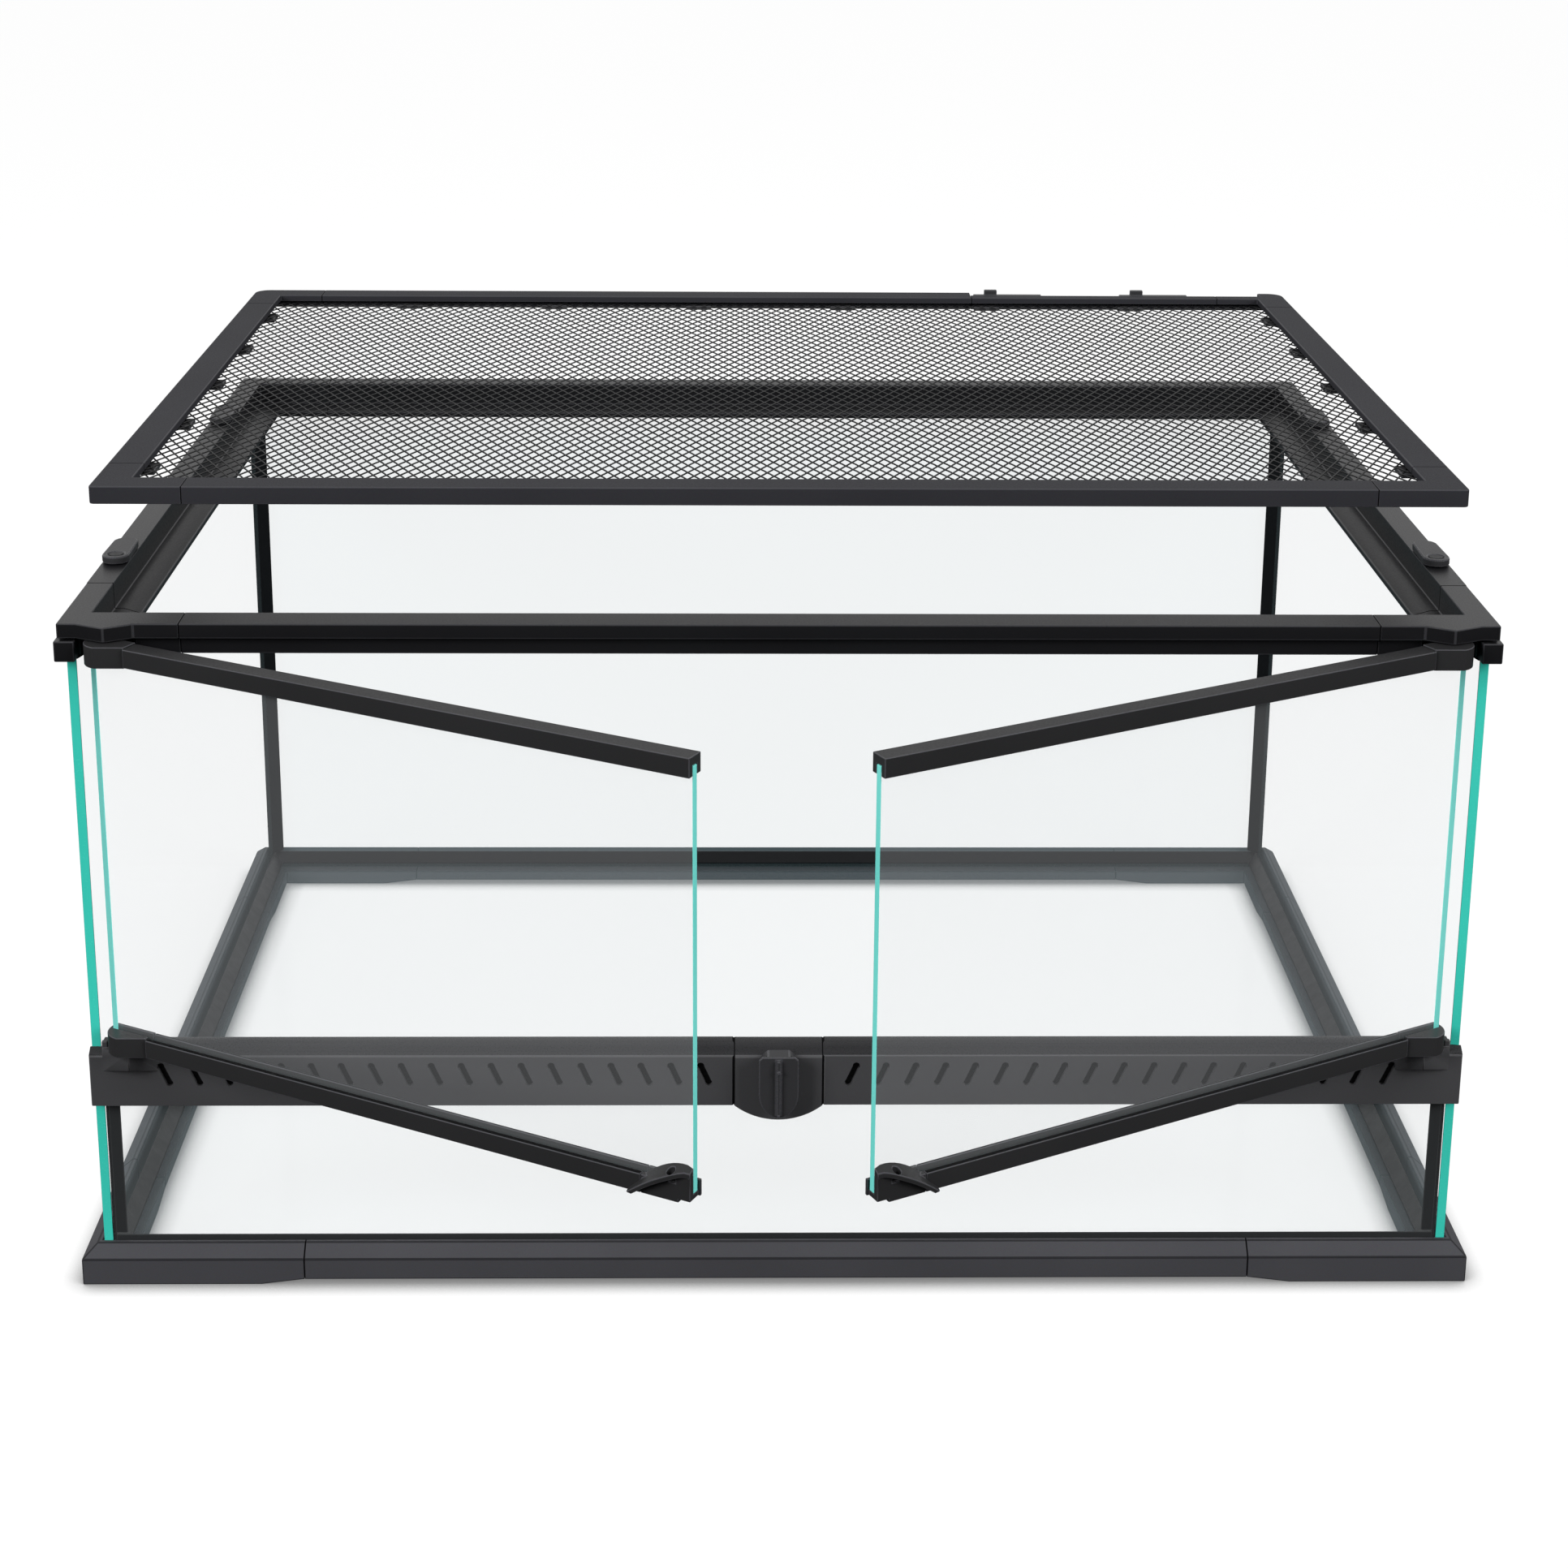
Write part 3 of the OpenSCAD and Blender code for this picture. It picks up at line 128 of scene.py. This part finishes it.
def moulded(name, dark, pale, roughness, grain, depth, specular=0.5):
    """Moulded plastic: slow shade changes of the melt, a spark-eroded grain, a faint gloss change with it."""
    material, shader = surface(name, IOR=1.52, Specular_IOR_Level=specular)
    # the melt's shade drifts over about 60 mm
    shade = mixed(material, dark, pale, noise(material, 60 * MM, Detail=3.0).outputs["Fac"])
    texture = noise(material, grain, Detail=2.0, Roughness=0.6)
    speck_share = 0.25
    speck = add(material, "ShaderNodeMix", {"data_type": "RGBA", "blend_type": "MULTIPLY", 0: speck_share},
                {6: shade, 7: texture.outputs["Color"]})
    material.node_tree.links.new(speck.outputs[2], shader.inputs["Base Color"])
    # most of the noise lies between 0.3 and 0.7
    gloss(material, texture.outputs["Fac"], roughness - 0.06, roughness + 0.07, start=0.3, end=0.7)
    relief(material, texture.outputs["Fac"], 0.5, depth)
    return material


def baked(piece):
    """Replaces the piece's mesh with the one its modifiers make."""
    bpy.context.view_layer.update()
    made = bpy.data.meshes.new_from_object(piece.evaluated_get(bpy.context.evaluated_depsgraph_get()))
    piece.modifiers.clear()
    piece.data = made
    return made


def new_piece(name, mesh):
    """Puts a mesh into the scene as an object."""
    piece = bpy.data.objects.new(name, mesh)
    bpy.context.scene.collection.objects.link(piece)
    return piece


def rounded(node, materials, radius, angle=28, seams=(), seam_share=0.45, weld=0.002 * MM, slotted=False):
    """The node's solid as a moulding: edges sharper than the angle are broken by a small radius, and those
    narrow faces are in the second material. A seam is (axis, distance from the middle) of a plane where the
    piece meets the next: a crisper edge, in the last material. A slotted piece keeps the outlines of its
    slots, which are all slanted or short edges, unbroken."""
    # an edge this near a seam's plane lies on it, and one this short or this little along an axis is a slot's
    near, tiny, straight = 0.5 * MM, 1 * MM, 0.98
    form = bmesh.new()
    form.from_mesh(frame["nodes"][node].data)
    bmesh.ops.remove_doubles(form, verts=form.verts, dist=weld)
    bmesh.ops.dissolve_limit(form, angle_limit=math.radians(1), verts=form.verts, edges=form.edges)
    weights = form.edges.layers.float.new("bevel_weight_edge")
    for line in form.edges:
        a, b = (end.co for end in line.verts)
        on_seam = any(abs(abs(a[axis]) - place) < near and abs(a[axis] - b[axis]) < near for axis, place in seams)
        sharp = len(line.link_faces) == 2 and line.calc_face_angle(0) > math.radians(angle)
        in_slot = slotted and max(abs(span) for span in a - b) < max(straight * (a - b).length, tiny)
        line[weights] = (seam_share if on_seam else 1.0) if sharp and not in_slot else 0.0
    mesh = bpy.data.meshes.new(node + "_skin")
    form.to_mesh(mesh)
    form.free()
    for material in materials:
        mesh.materials.append(material)
    for face in mesh.polygons:
        face.material_index = 0
    piece = new_piece(node + "_skin", mesh)
    edge = piece.modifiers.new("edge", "BEVEL")
    edge.width, edge.segments, edge.limit_method, edge.material = radius, 2, "WEIGHT", 1
    edge.use_clamp_overlap = False
    made = baked(piece)
    made.shade_smooth()
    made.set_sharp_from_angle(angle=math.radians(50))
    # flat faces stay flat, and only the rounded edges turn the light
    piece.modifiers.new("even", "WEIGHTED_NORMAL").keep_sharp = True
    made = baked(piece)
    # a short edge can throw its bevel outwards, so nothing goes past the solid's own box
    low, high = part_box(node)
    for point in made.vertices:
        point.co = [min(max(value, least), most) for value, least, most in zip(point.co, low, high)]
    seam_reach = seam_share * radius + 0.1 * MM
    for face in made.polygons:
        for axis, place in seams:
            reach = [made.vertices[i].co[axis] for i in face.vertices]
            if max(reach) - min(reach) < place and all(abs(abs(co) - place) < seam_reach for co in reach):
                face.material_index = len(materials) - 1
    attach(piece, frame["nodes"][node]["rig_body"])
    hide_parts(node)
    return piece


# Moulded ABS with a fine spark-eroded grain: a soft, even charcoal with no sharp reflection.
# The real grain is about 0.1 mm; it is drawn at 0.7 mm so that it shows.
base_abs = moulded("charcoal_moulded_ABS_fine_grain", "#434347", "#4D4D51", 0.55, 0.7 * MM, 0.03 * MM, 0.2)
# Its rounded edges are a darker copy of the plastic: a painted shade line along each break.
base_abs_shade_edge = moulded("charcoal_moulded_ABS_painted_shade_edge_line", "#27272A", "#303033",
                        0.55, 0.7 * MM, 0.01 * MM, 0.2)
# The joint between two mouldings: grime and shadow sit in it. The same near-black is also painted shade on the
# floor of the doors' bottom channels.
joint_and_channel_shade = moulded("dark_seam_and_painted_channel_shade_ABS", "#0B0B0C", "#111112", 0.7, 1 * MM, 0.01 * MM, 0.1)
base_seams = ((0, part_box("base_rail_front")[1].x), (1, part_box("base_rail_left")[1].y))
for node in ("base_corner_front_left", "base_corner_front_right", "base_corner_rear_left", "base_corner_rear_right",
             "base_rail_front", "base_rail_rear", "base_rail_left", "base_rail_right"):
    rounded(node, (base_abs, base_abs_shade_edge, joint_and_channel_shade), 0.6 * MM, seams=base_seams)


# ---- Glass tank ----
# Five panes of 4 mm float glass bonded into a box: floor, sides, rear, and a low front pane.
# The faces are clear with a faint cool cast; the cut edges gather light and show turquoise.

def clear_glass(name, tint, alpha):
    """Clear float glass seen face on: a thin cool film with slight waves in its gloss."""
    material, _ = surface(name, Base_Color=linear(tint), Alpha=alpha, IOR=1.52)
    # a dusting of fine marks 2 mm wide, and roller waves about 80 mm apart
    dust = noise(material, 2 * MM, Detail=3.0).outputs["Fac"]
    gloss(material, dust, 0.03, 0.13, start=0.35, end=0.75)
    relief(material, noise(material, 80 * MM, Detail=1.0).outputs["Fac"], 0.05, 0.2 * MM)
    return material


def cut_edge(name, deep, bright, glow):
    """Ground and polished glass edge: light piped through the pane leaves it turquoise, in slow bands, shown by a
    painted glow.
    """
    material, shader = surface(name, IOR=1.52, Emission_Strength=glow, Coat_Weight=0.3, Coat_Roughness=0.08)
    # bands about 90 mm long, and grinding marks 0.8 mm apart, drawn coarser than the real 0.2 mm
    shade = mixed(material, deep, bright, noise(material, 90 * MM, Detail=2.0).outputs["Fac"])
    marks = noise(material, 0.8 * MM, Detail=2.0).outputs["Fac"]
    material.node_tree.links.new(shade, shader.inputs["Base Color"])
    material.node_tree.links.new(shade, shader.inputs["Emission Color"])
    gloss(material, marks, 0.12, 0.35)
    relief(material, marks, 0.15, 0.05 * MM)
    return material


def pane(node, materials):
    """A pane with its arrises ground off: large faces clear, the edge that faces forward bare, the other
    edges in the last material."""
    piece = rounded(node, materials, 0.3 * MM)
    largest = max(face.area for face in piece.data.polygons)
    for face in piece.data.polygons:
        if face.area > 0.5 * largest:
            face.material_index = 0
        elif face.normal.y < -0.5:
            face.material_index = 1
        else:
            face.material_index = len(materials) - 1
    # sunlight would pass straight through, so a pane throws no shadow
    piece.visible_shadow = False


# Float glass, 4 mm: nearly colourless face on, a faint cool grey-blue against white.
tank_glass = clear_glass("clear_float_glass_4mm", "#82A1A7", 0.10)
# The low front pane, wiped cleaner than the others.
front_glass = clear_glass("clear_float_glass_4mm_front", "#D8DEE0", 0.03)
# The floor pane lies under the overhead light, so its film is darker to look the same.
floor_glass = clear_glass("clear_float_glass_4mm_floor", "#7C979D", 0.085)
# The side panes get less of the light, so their film is paler to look the same.
side_glass = clear_glass("clear_float_glass_4mm_sides", "#B0CAD0", 0.08)
# The same glass end on: strong turquoise, with a faint painted glow.
tank_glass_edge = cut_edge("ground_edge_of_4mm_float_glass", "#2AA594", "#3EC3B2", 0.25)
# An edge that is glued to the next pane: the black silicone shows through it.
bonded_edge = moulded("glass_edge_bonded_in_black_silicone", "#0E0F10", "#161719", 0.3, 2 * MM, 0.02 * MM)
for node, face, edge in (("floor_pane", floor_glass, bonded_edge), ("left_pane", side_glass, tank_glass_edge),
                         ("right_pane", side_glass, tank_glass_edge), ("rear_pane", tank_glass, bonded_edge),
                         ("front_pane", front_glass, bonded_edge)):
    pane(node, (face, edge, bonded_edge))


# ---- Silicone seals ----
# Beads of black silicone run into the inner corners of the tank and smoothed with a finger.
# Cured silicone is glossy and slightly uneven along its length.

silicone, _ = surface("black_cured_silicone_finger_smoothed", Base_Color=linear("#121315"), IOR=1.41)
# finger marks about 9 mm long
ripple = noise(silicone, 9 * MM, Detail=2.0).outputs["Fac"]
gloss(silicone, ripple, 0.22, 0.5)
relief(silicone, ripple, 0.6, 0.5 * MM)
for node in ("corner_seals", "floor_seal"):
    rounded(node, (silicone, silicone), 0.8 * MM)


# ---- Vent strip ----
# Two slotted mouldings across the front over the low pane, with a woven screen behind the slots.
# Black ABS with a fine grain; the curved flange on top carries the doors' lower pins.

# Black ABS, fine spark grain drawn at 0.6 mm: a dull near-black, whose rims carry a paler copy of it as a painted
# highlight.
vent_abs = moulded("black_moulded_ABS_fine_grain", "#424244", "#4A4A4C", 0.5, 0.6 * MM, 0.02 * MM, 0.1)
vent_abs_highlight_edge = moulded("black_moulded_ABS_painted_highlight_edge", "#4E4E50", "#58585A", 0.40, 0.6 * MM, 0.01 * MM, 0.2)
# The same plastic where the strip's upper slope is polished: darker, with a soft sheen.
vent_gloss = moulded("black_moulded_ABS_polished_slope", "#222224", "#2A2A2C", 0.3, 0.9 * MM, 0.01 * MM, 0.4)


def polish_slope(piece):
    """Gives the faces that look upwards near the strip's top the polished finish."""
    slope_foot, upwards = 100 * MM, 0.2
    piece.data.materials.append(vent_gloss)
    for face in piece.data.polygons:
        if face.material_index == 0 and face.normal.z > upwards and face.center.z > slope_foot:
            face.material_index = len(piece.data.materials) - 1


strip_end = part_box("vent_strip_right")[0].x
# the strips are pressed up against the lock housing, over a gap of this width
housing_gap = 0.24 * MM
for node in ("vent_strip_left", "vent_strip_right"):
    strip = rounded(node, (vent_abs, vent_abs_highlight_edge, joint_and_channel_shade), 0.5 * MM,
                    angle=32, seams=[(0, strip_end)], seam_share=0.9, slotted=True)
    polish_slope(strip)
    for point in strip.data.vertices:
        if abs(point.co.x) < strip_end + 0.05 * MM:
            point.co.x -= math.copysign(housing_gap, point.co.x)

# Woven black fibreglass screen: threads 1.2 mm apart, so the slots read as deep black with a fine weave.
screen, _ = surface("black_woven_fibreglass_screen", Base_Color=linear("#0B0B0C"), Roughness=0.8, IOR=1.5)
place = add(screen, "ShaderNodeTexCoord", {}, {})
warp, weft = (add(screen, "ShaderNodeTexWave", {"Scale": 1 / (1.2 * MM) / math.tau, "bands_direction": axis},
                  {"Vector": place.outputs["Object"]}).outputs["Fac"] for axis in "XZ")
cloth = add(screen, "ShaderNodeMath", {"operation": "MULTIPLY"}, {0: warp, 1: weft})
relief(screen, cloth.outputs["Value"], 0.8, 0.2 * MM)
rounded("vent_screens", (screen, screen), 0.2 * MM)


# ---- Lock ----
# A housing clipped between the two strips, and a turn button on a steel pin.
# A half turn brings the button's tail up in front of both pulls.

housing_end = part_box("lock_housing")[1].x
housing = rounded("lock_housing", (vent_abs, vent_abs_highlight_edge, joint_and_channel_shade), 0.8 * MM,
                  seams=[(0, housing_end)], seam_share=0.7)
polish_slope(housing)
# Satin ABS, smoother than the strip: its bevels catch soft highlights, and carry a paler copy of it as a painted
# highlight.
knob_abs = moulded("black_moulded_ABS_satin", "#303032", "#39393B", 0.36, 0.5 * MM, 0.01 * MM, 0.25)
knob_abs_highlight_edge = moulded("black_moulded_ABS_satin_painted_highlight_edge", "#404043", "#4C4C50", 0.28, 0.5 * MM, 0.005 * MM, 0.4)
knob = rounded("lock_knob", (knob_abs, knob_abs_highlight_edge), 0.5 * MM)
knob_low, knob_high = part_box("lock_knob")
knob_tall = knob_high.z - knob_low.z
# the grip rib, 2.3 mm wide and 1.8 mm proud, is drawn in to a thin blade, a little wider at its top
foot_share, flare = 0.42, 0.2
for point in knob.data.vertices:
    if abs(point.co.x) < 2 * MM and point.co.y < knob_low.y + 1.7 * MM:
        point.co.x *= foot_share + flare * (point.co.z - knob_low.z) / knob_tall
# A moulded pip near the rib's top and a smaller one at its foot tell which way the button points; both are in the
# paler edge plastic, a painted highlight.
# Each is turned from this outline: distances out and forward, as shares of the pip's radius.
PIP_OUTLINE = ((1.0, -0.9), (1.0, 0.15), (0.86, 0.36), (0.5, 0.5), (0.2, 0.53))
PIP_SIDES = 32
for name, height, wide in (("lock_knob_pip", 0.774, 1.05 * MM), ("lock_knob_foot_pip", 0.06, 0.7 * MM)):
    turned = bmesh.new()
    centre_z = knob_low.z + height * knob_tall
    rings = []
    for out, forward in PIP_OUTLINE:
        turns = [math.tau * k / PIP_SIDES for k in range(PIP_SIDES)]
        rings.append([turned.verts.new((out * wide * math.cos(turn), knob_low.y - forward * wide,
                                        centre_z + out * wide * math.sin(turn))) for turn in turns])
    for inner, outer in zip(rings, rings[1:]):
        for k in range(PIP_SIDES):
            n = (k + 1) % PIP_SIDES
            turned.faces.new((inner[k], inner[n], outer[n], outer[k]))
    turned.faces.new(rings[-1])
    turned.faces.new(rings[0][::-1])
    bmesh.ops.recalc_face_normals(turned, faces=turned.faces)
    mesh = bpy.data.meshes.new(name)
    turned.to_mesh(mesh)
    turned.free()
    mesh.materials.append(knob_abs_highlight_edge)
    mesh.shade_smooth()
    pip = new_piece(name, mesh)
    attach(pip, frame["nodes"]["lock_knob"]["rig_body"])

# Bright steel wire pin: clean cold-drawn metal with fine die marks, drawn 0.3 mm apart.
pin_steel, _ = surface("cold_drawn_steel", Base_Color=linear("#B9BBBD"), Metallic=1.0)
gloss(pin_steel, noise(pin_steel, 0.3 * MM, Detail=1.0).outputs["Fac"], 0.2, 0.42)
for node in ("lock_pin", "hinge_pins"):
    rounded(node, (pin_steel, pin_steel), 0.15 * MM)


# ---- Doors ----
# Two glass doors in channel rails, each turning on a pin above and a pin below.
# The rails are extruded black PVC; the caps that take the pins and the finger pulls are moulded.

# Door glass: a shade milkier than the tank's, so black parts behind it turn grey.
door_glass = clear_glass("clear_float_glass_3mm", "#E4E7EA", 0.04)
# The door's bare edges: paler than the thicker panes' edges, and all round, with a stronger painted glow.
door_glass_edge = cut_edge("polished_edge_of_3mm_float_glass", "#52B8AE", "#78CFC7", 0.33)
# Extruded PVC: smoother than the moulded parts, with a paler painted highlight along its corners.
door_pvc = moulded("black_extruded_PVC_satin", "#29292A", "#303031", 0.38, 0.8 * MM, 0.01 * MM, 0.35)
door_pvc_highlight_edge = moulded("black_extruded_PVC_painted_highlight_edge", "#424246", "#4E4E52", 0.32, 0.8 * MM, 0.005 * MM, 0.4)
for side in ("left", "right"):
    pane(side + "_door_glass", (door_glass, door_glass_edge))
    for part in ("top_rail", "upper_cap", "lower_cap"):
        rounded(f"{side}_door_{part}", (door_pvc, door_pvc_highlight_edge), 0.35 * MM)
    # the bottom rail is a deep channel: its upward faces are painted shade in near-black, with a pale painted
    # highlight along each lip
    channel = rounded(side + "_door_bottom_rail", (door_pvc, door_pvc_highlight_edge, joint_and_channel_shade), 0.35 * MM)
    for face in channel.data.polygons:
        if face.material_index == 0 and face.normal.z > 0.8:
            face.material_index = 2
    # the pull's curves are made of short edges, which are welded so that the radius runs round them
    rounded(side + "_door_pull", (door_pvc, door_pvc_highlight_edge), 0.35 * MM, weld=0.25 * MM)


# ---- Top frame ----
# Four corner mouldings and four rails of black ABS pushed down over the glass.
# A recess all round takes the lid, and a shelf inside it carries the lid's weight.

# Black ABS with a satin top face: it turns mid grey where it faces the light.
frame_abs = moulded("black_moulded_ABS_satin_frame", "#151517", "#1B1B1D", 0.36, 0.7 * MM, 0.02 * MM, 0.5)
# Its rounded edges are a paler copy of it: a painted highlight.
frame_abs_highlight_edge = moulded("black_moulded_ABS_frame_painted_highlight_edge", "#2C2C2F", "#3A3A3D",
                         0.32, 0.7 * MM, 0.01 * MM, 0.5)
top_seams = [(0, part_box("top_rail_front")[1].x)] + [(1, abs(end.y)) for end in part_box("top_rail_left")]
for node in ("top_corner_front_left", "top_corner_front_right", "top_corner_rear_left", "top_corner_rear_right",
             "top_rail_front", "top_rail_rear", "top_rail_left", "top_rail_right"):
    rounded(node, (frame_abs, frame_abs_highlight_edge, joint_and_channel_shade), 0.6 * MM, seams=top_seams)


# ---- Swing locks ----
# Four moulded tongues on the side rails, each on a countersunk black screw.
# A quarter turn swings a tongue over the closed lid.

for corner in ("front_left", "front_right", "rear_left", "rear_right"):
    rounded("swing_lock_" + corner, (knob_abs, knob_abs_highlight_edge), 0.8 * MM)
# Black zinc screw: dark metal with a soft sheen, its plating clouded every 0.9 mm.
screw_zinc, _ = surface("black_zinc_plated_steel", Base_Color=linear("#2A2B2D"), Metallic=1.0)
gloss(screw_zinc, noise(screw_zinc, 0.9 * MM, Detail=2.0).outputs["Fac"], 0.3, 0.5)
rounded("swing_lock_screws", (screw_zinc, screw_zinc), 0.3 * MM)


# ---- Lid frame ----
# A flat frame of moulded corners and rails, with two notches for cables in its rear edge.
# A slider closes each notch, and clips under the rails hold the mesh.

# Charcoal ABS with the base's grain: dull, with slightly paler edges that are a painted highlight.
lid_abs = moulded("charcoal_moulded_ABS_lid", "#2E2E32", "#36363A", 0.55, 0.7 * MM, 0.02 * MM, 0.08)
lid_abs_highlight_edge = moulded("charcoal_moulded_ABS_lid_painted_highlight_edge", "#3B3B3F", "#46464A",
                       0.45, 0.7 * MM, 0.01 * MM, 0.15)
lid_seams = [(0, abs(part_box(rail)[0].x)) for rail in ("lid_rail_front", "lid_inlet_rail")]
lid_seams += [(1, abs(end.y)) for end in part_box("lid_rail_left")]
for node in ("lid_corner_front_left", "lid_corner_front_right", "lid_corner_rear_left", "lid_corner_rear_right",
             "lid_rail_front", "lid_rail_rear", "lid_rail_left", "lid_rail_right", "lid_inlet_rail"):
    rounded(node, (lid_abs, lid_abs_highlight_edge, joint_and_channel_shade), 0.5 * MM, seams=lid_seams)
rounded("mesh_clips", (knob_abs, knob_abs_highlight_edge), 0.4 * MM)
for node in ("inlet_slider_a", "inlet_slider_b"):
    rounded(node, (knob_abs, knob_abs_highlight_edge), 0.4 * MM)


# ---- Lid mesh ----
# Expanded steel sheet, slit and stretched into diamonds about 5.7 by 12 mm, coated black.
# Each strand runs along one side of a diamond and leans a little, as slit metal does when it is stretched.

low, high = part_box("lid_mesh")
columns = round((high.x - low.x) / (5.7 * MM))
rows = round((high.y - low.y) / (11.8 * MM))
half_cell = np.array([(high.x - low.x) / columns / 2, (high.y - low.y) / rows / 2])
strand_w, strand_t, lean, bow = 0.52 * MM, 0.36 * MM, 0.08 * MM, 0.18 * MM
middle = (low.z + high.z) / 2
points, faces = [], []
for i in range(2 * columns):
    for j in range(2 * rows):
        # rising strands are straight, and the falling ones are drawn out slightly bowed
        rise = (i + j) % 2 == 0
        a = np.array([low.x, low.y]) + half_cell * (i, j if rise else j + 1)
        b = np.array([low.x, low.y]) + half_cell * (i + 1, j + 1 if rise else j)
        side = np.array([a[1] - b[1], b[0] - a[0]]) / np.linalg.norm(b - a)
        bends = ((0, 0), (1, 0)) if rise else ((0, 0), (0.45, bow), (1, 0))
        first = len(points)
        for along, sway in bends:
            spot = a + (b - a) * along + side * sway
            for wide, tall in ((-1, -1), (1, -1), (1, 1), (-1, 1)):
                x, y = spot + side * wide * strand_w / 2
                z = middle + tall * strand_t / 2 + wide * lean
                points.append((min(max(x, low.x), high.x), min(max(y, low.y), high.y), z))
        for ring in range(first, len(points) - 4, 4):
            for k in range(4):
                n = (k + 1) % 4
                faces.append((ring + k, ring + n, ring + 4 + n, ring + 4 + k))
mesh = bpy.data.meshes.new("lid_lattice")
mesh.from_pydata(points, [], faces)
mesh.update()
# Black powder coat over steel: dull, with a fine orange peel drawn at 0.8 mm.
powder = moulded("black_powder_coat_on_steel", "#08080A", "#0D0D0F", 0.45, 0.8 * MM, 0.02 * MM, 0.35)
mesh.materials.append(powder)
lattice = new_piece("lid_lattice", mesh)
# thin wire this far above the glass throws no shadow that the eye could pick out
lattice.visible_shadow = False
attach(lattice, "lid")
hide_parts("lid_mesh")


# ---- Floor, light and camera ----
# A plain pale floor and backdrop, a pale sky and large soft lights.
# The camera stands in front, a little above the lid.

def stage_piece(name, form, material):
    """A part of the studio, which belongs to no body."""
    mesh = bpy.data.meshes.new(name)
    form.to_mesh(mesh)
    form.free()
    mesh.materials.append(material)
    thing = new_piece(name, mesh)
    thing.visible_diffuse = thing.visible_glossy = False
    return thing


# Matt white paper, lit from within like a light table.
paper, shader = surface("matt_white_floor", Base_Color=linear("#606060"), Roughness=0.9, Specular_IOR_Level=0.0,
                        Emission_Color=linear("#FFFFFF"))
# a soft contact shadow that reaches 12 mm
contact = add(paper, "ShaderNodeAmbientOcclusion", {"samples": 8, "Distance": 12 * MM}, {})
lift = add(paper, "ShaderNodeMapRange", {"From Min": 0.48, "From Max": 0.97, "To Min": 0.2, "To Max": 0.92},
           {"Value": contact.outputs["AO"]})
paper.node_tree.links.new(lift.outputs["Result"], shader.inputs["Emission Strength"])
# Plain white, the same brightness everywhere.
white, _ = surface("white_backdrop", Base_Color=linear("#000000"), Roughness=0.9, Specular_IOR_Level=0.0,
                   Emission_Color=linear("#FFFFFF"), Emission_Strength=1.0)
disc = bmesh.new()
bmesh.ops.create_circle(disc, cap_ends=True, radius=14, segments=96)
stage_piece("floor", disc, paper)
dome = bmesh.new()
bmesh.ops.create_uvsphere(dome, u_segments=64, v_segments=32, radius=15)
backdrop = stage_piece("backdrop", dome, white)
backdrop.visible_transmission = backdrop.visible_shadow = False

world = bpy.data.worlds.new("studio")
bpy.context.scene.world = world
world.use_nodes = True


def ramp(socket, start, end, low, high):
    """Maps part of a direction's span to a brightness."""
    span = {"From Min": start, "From Max": end, "To Min": low, "To Max": high}
    return add(world, "ShaderNodeMapRange", span, {"Value": socket}).outputs["Result"]


# brightest overhead and behind, dim in front and below the horizon
place = add(world, "ShaderNodeTexCoord", {}, {})
sky = add(world, "ShaderNodeSeparateXYZ", {}, {"Vector": place.outputs["Generated"]})
height = ramp(sky.outputs["Z"], -0.02, 1.0, 0.0, 0.3)
behind = ramp(sky.outputs["Y"], -0.6, 0.8, 0.12, 0.54)
above = ramp(sky.outputs["Z"], -0.15, 0.1, 0.06, 1.0)
both = add(world, "ShaderNodeMath", {"operation": "ADD"}, {0: height, 1: behind})
glow = add(world, "ShaderNodeMath", {"operation": "MULTIPLY"}, {0: both.outputs["Value"], 1: above})
background = world.node_tree.nodes["Background"]
background.inputs["Color"].default_value = (1, 1, 1, 1)
world.node_tree.links.new(glow.outputs["Value"], background.inputs["Strength"])


tank_middle = Vector((0, 0, 0.2))


def softbox(name, place, size, power):
    """A large soft lamp that looks at the middle of the tank."""
    lamp = bpy.data.lights.new(name, "AREA")
    lamp.shape, lamp.size, lamp.size_y, lamp.energy = "RECTANGLE", size[0], size[1], power
    holder = bpy.data.objects.new(name, lamp)
    holder.location = place
    holder.rotation_euler = (tank_middle - Vector(place)).to_track_quat("-Z", "Y").to_euler()
    # the boxes light the room but don't mirror in the glass
    holder.visible_glossy = False
    bpy.context.scene.collection.objects.link(holder)


softbox("overhead", (0, 0.5, 2.4), (3.2, 2.4), 9)
softbox("front_left", (-2.2, -2.0, 1.6), (1.4, 1.4), 84)
softbox("front_right", (2.4, -1.8, 1.5), (1.2, 1.6), 74)

# 1.3 m in front of the tank's middle and 0.66 m up, looking 15 degrees down, with the lens shifted
camera = bpy.data.objects.new("camera", bpy.data.cameras.new("camera"))
bpy.context.scene.collection.objects.link(camera)
camera.data.sensor_width = 36
camera.data.lens = 63.73
camera.data.shift_y = -0.18
camera.data.clip_start, camera.data.clip_end = 0.05, 60
stand = Matrix.Translation((-0.0193, -1.3221, 0.6598))
pan, tilt, roll = math.radians(-1.040), math.radians(90 - 15.446), math.radians(0.422)
camera.matrix_world = (stand @ Matrix.Rotation(pan, 4, "Z") @ Matrix.Rotation(tilt, 4, "X")
                       @ Matrix.Rotation(roll, 4, "Z"))
bpy.context.scene.camera = camera
bpy.context.scene.view_settings.view_transform = "Standard"
